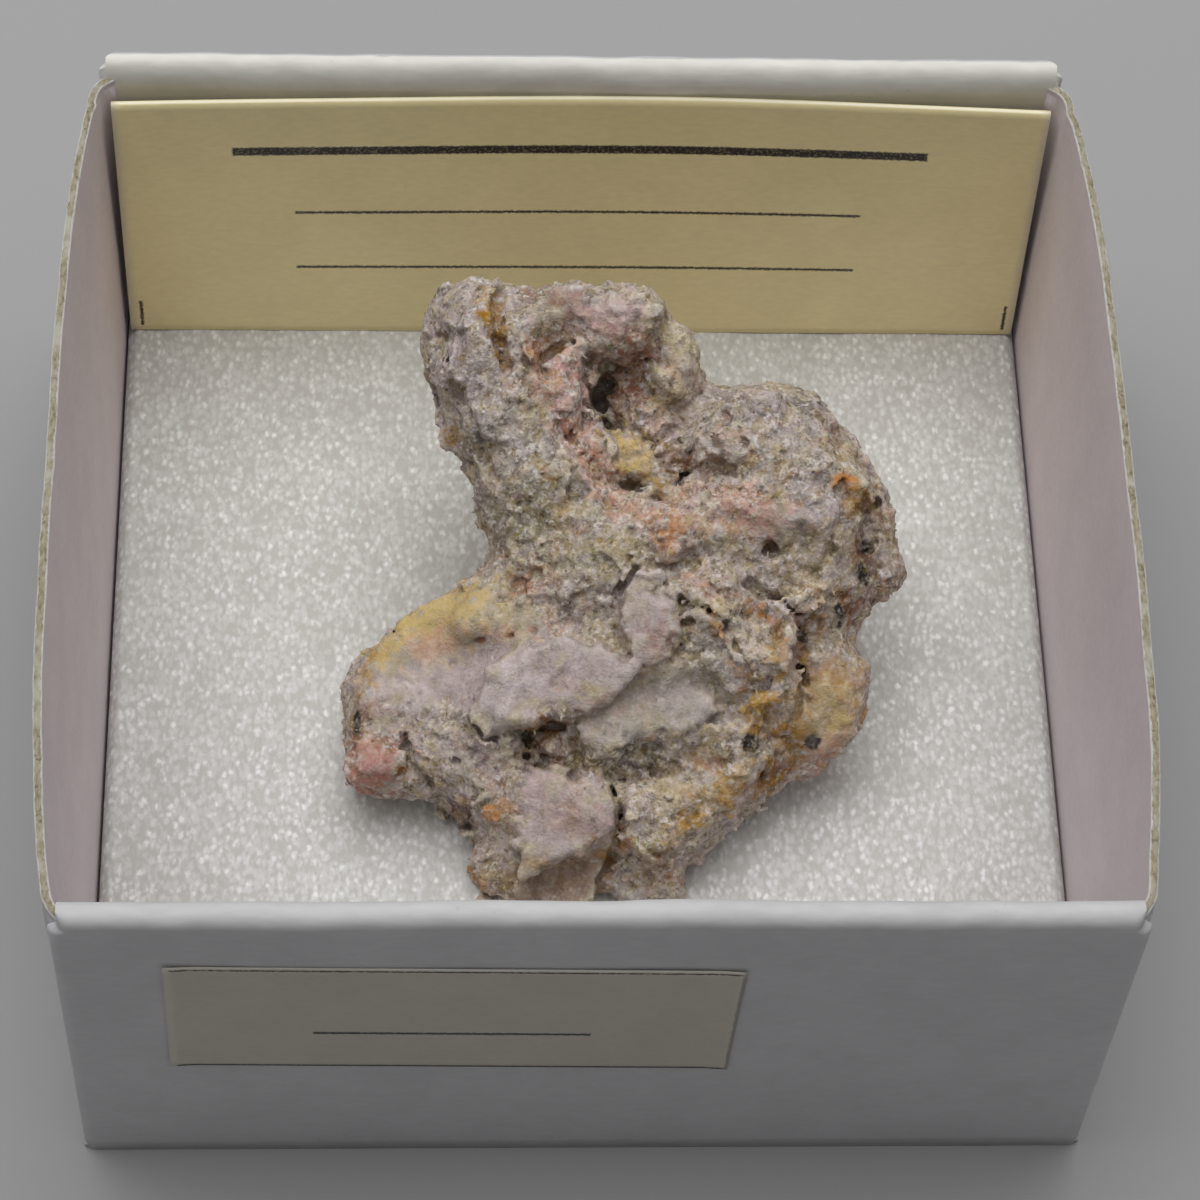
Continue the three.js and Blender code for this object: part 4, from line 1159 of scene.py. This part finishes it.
ZONES = [  # pigment, middle, half sizes, turn, strength
    # column
    ("lilac", -5.6, 9.4, 2.2, 3.6, 10, 0.65), ("grey", -4.3, 5.4, 1.8, 2.6, 10, 0.7),
    ("sage", -3.2, 3.6, 2.0, 1.7, 0, 0.7), ("cream", -3.8, 8.0, 0.9, 1.3, 0, 0.4),
    ("salmon", -2.2, 9.4, 1.4, 2.2, 10, 0.75), ("pink", -1.8, 7.4, 0.9, 2.6, 14, 0.85),
    # The ash patches at the column's left side are painted shade on its receding side face.
    ("salmon", -0.9, 5.6, 0.8, 1.7, 30, 0.9), ("ash", -5.6, 6.6, 0.6, 0.95, 10, 0.9),
    ("ash", -6.0, 5.1, 0.35, 1.2, 14, 0.55), ("ash", -6.6, 9.4, 0.35, 0.3, 0, 0.5),
    ("orange", -3.5, 9.9, 0.5, 0.5, 20, 0.55), ("orange", -2.4, 10.0, 0.4, 0.25, 0, 0.6),
    ("amber", -2.7, 8.9, 0.35, 0.3, 0, 0.5), ("amber", -3.0, 5.1, 0.55, 0.2, -45, 0.7),
    ("ochre", -5.05, 11.0, 0.48, 1.5, 8, 1.0), ("ochre", -4.75, 9.6, 0.33, 0.7, 14, 0.9),
    ("brown", -5.1, 10.4, 0.2, 0.5, 8, 0.6), ("amber", -5.2, 11.8, 0.3, 0.4, 0, 0.6),
    ("pale lilac", -5.8, 10.3, 0.45, 0.45, 0, 0.9), ("amber", -6.8, 6.6, 0.42, 0.4, 0, 0.8),
    ("mauve", -2.3, 11.9, 1.2, 0.7, -15, 0.9), ("taupe", -2.4, 11.6, 0.8, 0.4, -20, 0.6),
    ("ochre", -2.6, 10.0, 0.25, 0.2, 0, 0.7), ("rust", -2.1, 6.75, 0.3, 0.4, 0, 0.7),
    ("olive", -4.7, 6.9, 0.5, 0.6, 0, 0.4),
    # knob, slope and hollow
    ("pink", -0.1, 11.2, 1.6, 1.3, 0, 0.75), ("pale lilac", 0.2, 11.6, 1.1, 0.7, 0, 0.45),
    ("pale cream", 0.7, 12.1, 0.8, 0.3, -20, 0.5), ("salmon", -0.7, 10.7, 0.35, 0.3, 0, 0.6),
    ("pale cream", 2.2, 9.4, 1.4, 2.3, 20, 0.9), ("lilac", 3.1, 8.6, 0.8, 0.8, 0, 0.4),
    # The brown and umber of the hollow are partly its own brown and partly painted shadow under the column's
    # edge.
    ("rose", 0.3, 8.7, 0.95, 1.8, -10, 0.9), ("brown", 0.0, 8.4, 0.9, 1.5, -10, 0.7),
    ("umber", -0.8, 7.8, 0.5, 1.0, -8, 0.55), ("salmon", 1.7, 6.9, 1.1, 0.9, 0, 0.5),
    ("yellow", 0.7, 5.6, 0.7, 1.5, 42, 1.0), ("amber", 1.0, 5.2, 0.3, 0.9, 42, 0.5),
    # The umber patches here darken a crevice and a pit: painted shade, with some brown of a small hole.
    ("umber", 0.5, 4.7, 0.5, 0.3, -10, 0.6), ("umber", 1.5, 4.1, 0.3, 0.25, 0, 0.85),
    ("rose", 3.3, 5.6, 0.8, 0.5, 0, 0.6), ("plum", 2.5, 6.3, 0.45, 0.35, 0, 0.6),
    ("brown", 2.2, 5.5, 0.9, 0.6, 0, 0.85), ("umber", 2.4, 5.1, 0.9, 0.3, 8, 0.5),
    # shoulder and right side
    ("grey", 5.6, 7.0, 2.8, 2.0, -10, 0.8), ("lilac", 5.6, 7.4, 1.9, 1.3, -10, 0.7),
    ("ash", 7.5, 7.8, 0.9, 0.6, -30, 0.55), ("salmon", 4.5, 6.5, 0.9, 0.6, 0, 0.45),
    ("ochre", 5.2, 5.7, 0.45, 0.35, 0, 0.6), ("amber", 6.2, 5.4, 0.4, 0.3, 0, 0.4),
    ("salmon", 8.4, 6.8, 0.5, 0.9, 30, 0.45), ("cream", 8.8, 5.7, 0.9, 0.6, 0, 0.6),
    ("lilac", 7.6, 3.7, 1.3, 1.5, 0, 0.75), ("ash", 7.1, 3.4, 0.35, 1.4, 0, 0.45),
    ("cream", 8.3, 1.9, 1.1, 1.3, 0, 0.5), ("orange", 8.9, 4.75, 0.6, 0.4, -20, 0.9),
    ("amber", 9.7, 4.1, 0.6, 0.6, 0, 0.7), ("brown", 9.9, 3.5, 0.7, 0.9, 0, 0.8),
    ("ochre", 9.3, 3.7, 0.4, 0.5, 0, 0.6), ("olive", 10.6, 2.9, 0.5, 1.0, 20, 0.7),
    ("umber", 9.8, 2.1, 0.35, 0.3, 0, 0.8), ("brown", 9.8, 1.2, 0.45, 0.9, 15, 0.75),
    ("taupe", 10.9, 1.0, 0.6, 1.0, 0, 0.7), ("rust", 9.0, -0.1, 0.4, 1.0, 25, 0.85),
    ("mauve", 10.3, 0.1, 0.7, 0.7, 0, 0.6),
    # salmon band and the middle
    ("salmon", 4.0, 3.5, 3.0, 1.2, 4, 0.8), ("pink", 5.9, 3.5, 1.0, 0.9, 0, 0.5),
    ("orange", 2.6, 3.0, 1.0, 0.4, 8, 0.55), ("orange", 1.6, 2.4, 0.7, 0.5, 0, 0.65),
    ("salmon", 0.3, 3.6, 1.3, 0.8, -30, 0.7), ("cream", 4.2, 2.4, 0.7, 0.4, 0, 0.6),
    ("umber", 5.9, 2.15, 0.24, 0.24, 0, 1.0), ("rust", 5.9, 2.15, 0.4, 0.4, 0, 0.6),
    ("brown", 2.8, 1.95, 0.35, 0.25, 0, 0.7), ("rust", 1.3, 2.9, 0.4, 0.2, 0, 0.6),
    ("cream", -0.8, 1.8, 2.4, 1.0, 0, 0.5), ("ash", -1.5, 2.8, 0.55, 0.6, 0, 0.7),
    ("olive", -2.8, 3.8, 0.8, 0.8, 0, 0.4), ("ash", -0.3, 0.9, 0.45, 0.4, 0, 0.6),
    ("lilac", 5.6, 1.2, 1.5, 0.8, 0, 0.5), ("sage", 7.3, 1.4, 1.5, 0.9, 0, 0.5),
    ("sage", -1.6, 1.3, 1.8, 0.8, 0, 0.6), ("lilac", -2.4, 0.0, 1.6, 0.9, 10, 0.55),
    # finger and fan
    ("lilac", 1.0, -0.5, 0.9, 1.8, 12, 0.95), ("mauve", 1.4, -1.5, 0.7, 0.8, 0, 0.7),
    ("salmon", 3.6, 0.4, 1.1, 0.7, -20, 0.7), ("pale cream", 3.2, -0.2, 1.0, 0.3, -22, 0.7),
    ("brown", 2.6, -0.85, 0.4, 0.25, 0, 0.8), ("olive", 2.5, -2.1, 0.35, 1.0, 0, 0.5),
    ("grey", 3.5, -2.4, 0.9, 1.3, 30, 0.6), ("ash", 3.3, -3.0, 0.5, 0.5, 0, 0.4),
    ("cream", 4.2, -3.8, 0.7, 0.9, 30, 0.4), ("orange", 6.0, -0.9, 1.3, 0.35, -38, 0.8),
    ("amber", 6.2, -2.2, 0.45, 1.4, 8, 0.85), ("pale cream", 5.0, -1.9, 0.55, 1.3, 28, 1.0),
    ("pale lilac", 5.2, -2.1, 0.3, 0.8, 28, 0.5), ("orange", 3.8, -1.1, 0.22, 0.9, 33, 0.55),
    ("orange", 4.7, -2.9, 0.3, 0.9, 28, 0.6), ("amber", 5.6, -4.4, 0.6, 1.1, 0, 0.95),
    ("ochre", 5.5, -5.3, 0.5, 0.5, 0, 0.8), ("cream", 7.6, 0.3, 1.2, 0.6, 0, 0.5),
    ("brown", 7.1, -2.0, 0.5, 1.4, -8, 0.85), ("yellow", 7.9, -1.5, 0.5, 0.4, 0, 0.5),
    ("ochre", 8.1, -1.0, 0.5, 0.5, 0, 0.6),
    # lobe on the left
    ("lilac", -6.6, -3.7, 3.4, 1.5, 20, 0.85), ("cream", -6.6, -0.8, 3.2, 1.3, 26, 0.6),
    ("yellow", -7.0, -0.5, 2.3, 0.8, 26, 0.8), ("yellow", -9.2, -2.0, 1.1, 0.8, 55, 0.85),
    ("salmon", -7.8, -1.9, 1.9, 0.5, 24, 0.65), ("pale lilac", -8.6, -3.6, 1.3, 0.7, 10, 0.6),
    ("mauve", -9.8, -4.4, 0.6, 0.5, 0, 0.6), ("amber", -10.2, -2.9, 0.35, 1.2, -14, 0.6),
    ("lilac", -3.0, -3.1, 2.9, 1.5, 14, 0.95), ("pale lilac", -4.6, -3.5, 1.3, 0.8, 20, 0.6),
    # The mauve at (-0.8, -4.0) is painted shade below the lilac plate's edge.
    ("mauve", -0.8, -4.0, 1.0, 0.4, 30, 0.6), ("grey", -6.4, -5.0, 1.7, 0.8, 0, 0.6),
    ("lilac", -6.2, -5.7, 1.4, 0.7, 0, 0.6), ("rose", -9.8, -6.6, 1.3, 1.2, 0, 1.0),
    ("salmon", -9.9, -5.5, 0.8, 0.3, 0, 0.6), ("orange", -8.7, -6.8, 0.4, 0.35, 20, 0.85),
    ("rust", -8.6, -6.9, 0.25, 0.2, 20, 0.8), ("brown", -10.4, -4.8, 0.3, 0.6, 0, 0.8),
    ("olive", -7.7, -7.0, 0.6, 0.45, 0, 0.7), ("rust", -4.0, 0.6, 0.5, 0.4, 30, 0.75),
    ("salmon", -3.5, 0.6, 1.0, 0.6, 20, 0.5), ("cream", -4.8, -0.7, 1.6, 0.6, 20, 0.6),
    ("rust", -5.6, -1.6, 0.22, 0.14, 0, 0.8), ("rust", -4.35, -1.4, 0.25, 0.14, 0, 0.8),
    ("salmon", -4.6, -1.35, 1.6, 0.3, 10, 0.5),
    # slab, pocket, lower plate
    ("grey", 1.4, -3.9, 2.5, 1.1, 22, 0.85), ("lilac", 1.8, -3.7, 1.6, 0.6, 22, 0.5),
    # The ash at (0.9, -6.1) is painted shade on the recessed facet under the grey slab.
    ("ash", 3.5, -4.8, 0.7, 0.5, 0, 0.45), ("ash", 0.9, -6.1, 2.0, 0.8, 12, 0.85),
    # In the pocket under the lilac plate the brown is partly its own colour and partly painted shadow, and
    # the umber on the next line is painted shadow.
    ("ochre", -2.9, -5.0, 0.9, 0.35, 0, 0.8), ("brown", -2.7, -5.8, 0.9, 1.1, 6, 0.8),
    ("umber", -3.6, -6.2, 0.28, 0.8, 0, 0.75), ("olive", -1.4, -6.4, 0.8, 0.5, -20, 0.55),
    ("mauve", -5.0, -7.0, 0.9, 1.1, 0, 0.65), ("orange", -4.9, -8.3, 0.7, 0.45, 10, 0.8),
    ("rust", -4.6, -8.4, 0.35, 0.3, 10, 0.5), ("plum", -6.3, -8.7, 0.5, 0.9, 20, 0.95),
    ("lilac", -2.2, -8.6, 2.0, 1.9, -10, 0.85), ("mauve", -1.5, -8.8, 1.2, 1.0, -10, 0.4),
    ("pink", -2.4, -7.8, 1.5, 1.0, -14, 0.25), ("taupe", -2.2, -11.2, 2.3, 1.4, 20, 0.85),
    ("olive", -3.9, -10.9, 0.8, 0.3, 20, 0.5), ("umber", 0.0, -8.6, 0.2, 1.2, 4, 0.8),
    ("ochre", -0.5, -10.4, 0.25, 0.8, 16, 0.7), ("taupe", -5.2, -11.2, 1.2, 1.6, 0, 0.7),
    ("ochre", -5.9, -11.2, 0.4, 0.5, 0, 0.7), ("orange", 0.2, -9.6, 0.35, 0.4, 0, 0.6),
    # bulge, ridge, right lobe
    ("cream", 2.2, -7.4, 1.7, 1.0, 30, 0.8), ("lilac", 0.7, -8.2, 0.7, 0.8, 0, 0.6),
    ("amber", 3.7, -7.7, 2.0, 0.8, 36, 0.8), ("ochre", 2.3, -8.9, 1.6, 0.5, 36, 0.45),
    ("amber", 1.2, -10.3, 0.9, 0.7, 0, 0.5), ("ochre", 3.4, -6.4, 0.8, 0.45, 0, 0.75),
    ("cream", 3.4, -5.3, 1.3, 0.35, 6, 0.8), ("brown", 3.9, -6.5, 0.5, 0.25, 10, 0.7),
    ("sage", 1.0, -9.8, 0.5, 0.35, 0, 0.8), ("taupe", 2.4, -10.8, 1.8, 0.9, 20, 0.75),
    ("taupe", 8.3, -4.3, 1.9, 2.7, -18, 0.7), ("amber", 8.1, -4.0, 1.7, 2.3, -18, 0.6),
    ("cream", 8.2, -4.6, 0.9, 1.5, -32, 0.7), ("yellow", 8.7, -4.8, 0.3, 0.9, -32, 0.6),
    ("olive", 8.0, -4.6, 0.3, 0.9, -32, 0.6), ("salmon", 8.0, -6.2, 1.3, 0.5, 30, 0.6),
    ("ochre", 6.6, -5.9, 1.0, 0.8, 30, 0.7), ("rust", 6.0, -7.0, 0.8, 0.5, 20, 0.75),
    ("ochre", 5.4, -7.3, 0.8, 0.5, 0, 0.6),
]


def stone_tints(points, layers):
    """The colour at each point of the stone, its mask of clear stains, and its fine and medium lumpiness."""
    a, b, _ = points.T
    fine, medium, broad = (sampled(layer, points) for layer in layers)
    shades = {name: pigment(name) for name in PIGMENTS}
    colour = np.tile(shades["grey"], (len(points), 1))

    def stain(name, amount):
        nonlocal colour
        amount = np.clip(amount, 0, 1)[:, None]
        colour = colour * (1 - amount) + shades[name] * amount

    clear = np.zeros(len(points))
    stain("lilac", 0.35 + 0.35 * broad)
    stain("cream", 0.4 * np.clip(-broad, 0, 1))
    stain("cream", 0.3 * np.maximum(medium - 0.2, 0))
    ragged = 0.2 * medium + 0.14 * broad + 0.16 * fine
    for name, at_a, at_b, half_a, half_b, turn, strength in ZONES:
        near = ellipse(a, b, at_a, at_b, half_a, half_b, turn)
        fringe = ragged * min(1.0, 0.5 / min(half_a, half_b) + 0.35)
        amount = strength * eased((1.15 + fringe - near) / 0.45)
        stain(name, amount)
        clear = clear * (1 - amount) + amount * (name in CLEAR_STAINS)
    return colour, clear, fine, medium


def make_stone(mottle):
    """The stone, coloured by its stains and by painted shade in some of its zones, by grime and painted shade
    in its hollows, by painted highlights on its raised grains, and by its grain.
    """
    points, faces, block, layers, crust = carved_stone()
    colour, clear, fine, medium = stone_tints(points, layers)
    hollow, basin = (sampled(blurred(block.field, size), points) for size in (0.22, 0.7))
    column = ((points[:, :2] - LOW[:2]) / CELL).round().astype(int)
    rough = crust[tuple(np.clip(column, 0, np.array(COUNTS[:2]) - 1).T)]

    # The hollows darken towards a grime brown, partly grime and partly painted shade, and the raised grains
    # are paler: a painted highlight.
    dirt_and_shade_brown = np.array(paint(98, 78, 58, PIGMENT_GAIN)[:3])
    dirt_and_shade = np.clip(-hollow / 0.08, 0, 1) * 0.3 * (0.3 + 0.7 * rough) + np.clip(-basin / 0.7, 0, 1) * 0.2
    dirt_and_shade = dirt_and_shade[:, None]
    colour = colour * (1 - dirt_and_shade) + dirt_and_shade_brown * dirt_and_shade
    painted_crest_light = np.clip(hollow / 0.08, 0, 1)[:, None]
    colour = colour * (1 + 0.12 * painted_crest_light) + 0.1 * painted_crest_light * (1 - clear)[:, None]
    speck = (0.5 + 0.5 * rough) * (0.5 * fine + 0.5 * medium)
    colour = colour * (1 + 0.09 * speck)[:, None]
    olive = np.clip(medium - 1.0, 0, 1) * rough * 0.35
    colour = colour * (1 - olive)[:, None] + pigment("olive") * olive[:, None]
    jet = np.zeros(len(points))
    for crystal in DARK_CRYSTALS:
        away = ellipse(points[:, 0], points[:, 1], *crystal)
        jet = np.maximum(jet, eased((1.3 + 0.12 * fine - away) / 0.16))
    black = np.array(paint(*PIGMENTS["black"])[:3])
    colour = np.clip(colour * (1 - jet)[:, None] + black * jet[:, None], 0.003, 0.95)

    world = points @ stone_turn().T + STONE_PLACE
    piece("stone", world, faces, stone_look(mottle), ["smithsonite"],
          {"crust": rough, "jet": jet, "clear": np.maximum(clear, jet)}, tint=colour)


MOTTLES = [  # pigment, patch size, how rare, strength
    ("pale lilac", 1.9, 0.52, 0.5), ("salmon", 1.6, 0.58, 0.45), ("cream", 1.1, 0.54, 0.55),
    ("olive", 0.7, 0.56, 0.6), ("ash", 0.45, 0.56, 0.65), ("ochre", 0.5, 0.62, 0.55),
    ("pale lilac", 0.5, 0.52, 0.55), ("white", 0.3, 0.53, 0.65), ("brown", 0.2, 0.62, 0.55),
]
# Sizes in the crust: grains, the powder on them, white grains, the drifts they gather in, and the painted
# shade of pore holes.
GRAIN, POWDER, SUGAR, DRIFT, PORE_SHADE = 0.16, 0.13, 0.24, 1.5, 0.34


def mottle_effect():
    """Patches of another colour with ragged edges: a higher cover leaves fewer of them."""
    group, recipe, given, result = effect(
        "mottle",
        {"Place": ("Vector", None), "Colour": ("Color", (0.5, 0.5, 0.5, 1)),
         "Stain": ("Color", (0.5, 0.5, 0.5, 1)), "Patch size": ("Float", 1.0), "Cover": ("Float", 0.55),
         "Strength": ("Float", 0.5)},
        {"Colour": "Color"},
    )
    # Each stain shifts the cloud, so that no two lie over each other.
    apart = recipe.add("VectorMath", {0: given["Place"], 1: given["Stain"]}, operation="ADD")
    scale = recipe.math("DIVIDE", 1 / MM, given["Patch size"])
    cloud = recipe.add("TexNoise", {"Vector": apart, "Scale": scale, "Detail": 2.0, "Roughness": 0.7})
    edge = recipe.math("ADD", given["Cover"], 0.12)
    share = recipe.math("MULTIPLY", recipe.stretch(cloud, given["Cover"], edge), given["Strength"])
    recipe.tree.links.new(recipe.mix(share, given["Colour"], given["Stain"]), result.inputs["Colour"])
    return group


def stone_look(mottle):
    """The crust: its tint, mottled with other stains, frosted with white grains and darkened with the painted
    shade of small pore holes.
    """
    look, recipe = material("smithsonite_crust")
    place = recipe.add("TexCoord", out="Object")
    crust = recipe.mask("crust")
    dull = recipe.math("SUBTRACT", 1.0, recipe.mask("clear"))
    mottled = recipe.math("MULTIPLY", crust, recipe.stretch(dull, 0.0, 0.9, 0.6, 1.0))
    colour = recipe.mask("tint")
    for name, size, cover, strength in MOTTLES:
        feeds = {"Place": place, "Colour": colour, "Stain": (*pigment(name), 1.0), "Patch size": size,
                 "Cover": cover, "Strength": recipe.math("MULTIPLY", mottled, strength)}
        colour = recipe.shared(mottle, feeds)["Colour"]
    # Sugary grains, each with its own lightness, under a finer powder.
    grain = recipe.add("SeparateColor", {0: recipe.cells(place, GRAIN)["Color"]})
    powder = recipe.noise(place, POWDER, 1.0, 0.7)
    change = recipe.math("ADD", recipe.stretch(grain, 0.0, 1.0, -0.07, 0.08),
                         recipe.stretch(powder, 0.3, 0.7, -0.09, 0.1))
    calmed = recipe.math("MULTIPLY", change, recipe.stretch(crust, 0.25, 1.0, 0.35, 1.0))
    lightness = recipe.math("ADD", calmed, 1.0)
    grey = recipe.add("CombineColor", {0: lightness, 1: lightness, 2: lightness})
    shaded = recipe.mix(1.0, colour, grey, "MULTIPLY")
    # White grains gather in drifts, and clear stains show through them.
    drift = recipe.stretch(recipe.noise(place, DRIFT, 1.0), 0.4, 0.6, 0.1, 0.55)
    sugar = recipe.math("MULTIPLY", recipe.stretch(recipe.noise(place, SUGAR, 1.0, 0.6), 0.54, 0.68), drift)
    crusty_sugar = recipe.math("MULTIPLY", sugar, recipe.stretch(crust, 0.3, 1.0, 0.25, 1.0))
    frost = recipe.math("MULTIPLY", crusty_sugar, recipe.stretch(dull, 0.0, 1.0, 0.12, 1.0))
    frosted = recipe.mix(frost, shaded, paint(240, 234, 232))
    # Painted shade: dark brownish specks where small pore holes would be shaded.
    pore_shade_spots = recipe.stretch(recipe.noise(place, PORE_SHADE, 2.0, 0.75), 0.41, 0.32, 0.0, 0.7)
    pore_shade = recipe.math("MULTIPLY", pore_shade_spots, mottled)
    pore_shaded = recipe.mix(pore_shade, frosted, recipe.mix(1.0, frosted, (0.4, 0.32, 0.22, 1), "MULTIPLY"))
    sparkle = recipe.math("MULTIPLY", recipe.stretch(grain, 0.86, 0.94, 0.0, 0.4), dull)
    gloss = recipe.math("SUBTRACT", recipe.math("SUBTRACT", 0.88, sparkle),
                        recipe.math("MULTIPLY", recipe.mask("jet"), 0.3))
    bump = recipe.bump(powder, strength=0.6, depth=0.09)
    recipe.surface(Base_Color=pore_shaded, Roughness=gloss, Normal=bump, Specular_IOR_Level=0.3)
    return look


# ---- the scene ----

def floor_look():
    """A matt pale grey with a barely visible cloudiness."""
    look, recipe = material("pale_floor")
    place = recipe.add("TexCoord", out="Object")
    colour = recipe.mix(recipe.noise(place, 60, 0.0), paint(170, 170, 170), paint(175, 175, 175))
    recipe.surface(Base_Color=colour, Roughness=0.8)
    return look


FLOOR_REACH = 900
LIGHT = {
    "place": (-24, 90, 280), "aim": (0, 0, 8), "width": 330, "depth": 220, "watts": 0.55,
    "overhead": 0.85, "horizon": 0.02,  # the air's brightness
}


def studio_air():
    """A dim room that is brighter overhead than at eye level."""
    world = bpy.data.worlds.new("studio")
    world.use_nodes = True
    recipe = Recipe(world.node_tree)
    way = recipe.outputs("SeparateXYZ", {0: recipe.add("TexCoord", out="Generated")})
    upward = recipe.math("POWER", recipe.math("MAXIMUM", way["Z"], 0.0), 3.0)
    strength = recipe.stretch(upward, 0.0, 1.0, LIGHT["horizon"], LIGHT["overhead"])
    background = world.node_tree.nodes["Background"]
    background.inputs["Color"].default_value = (1, 1, 1, 1)
    world.node_tree.links.new(strength, background.inputs["Strength"])
    bpy.context.scene.world = world


def make_stage():
    """A plain pale floor, a soft lamp above and behind the tray, and the air."""
    mesh = bpy.data.meshes.new("floor")
    reach = FLOOR_REACH * MM
    mesh.from_pydata([(-reach, -reach, 0), (reach, -reach, 0), (reach, reach, 0), (-reach, reach, 0)], [],
                     [(0, 1, 2, 3)])
    mesh.materials.append(floor_look())
    floor = bpy.data.objects.new("floor", mesh)
    bpy.context.scene.collection.objects.link(floor)
    studio_air()
    soft_light("key", LIGHT["place"], LIGHT["aim"], LIGHT["width"], LIGHT["depth"], LIGHT["watts"])
    bpy.context.scene.view_settings.view_transform = "Standard"


aim_camera()
make_stage()
fibre, bar = card_fibre_effect(), printed_bar_effect()
make_tray(fibre)
make_label(fibre, bar)
make_sticker(fibre, bar)
make_foam()
make_stone(mottle_effect())
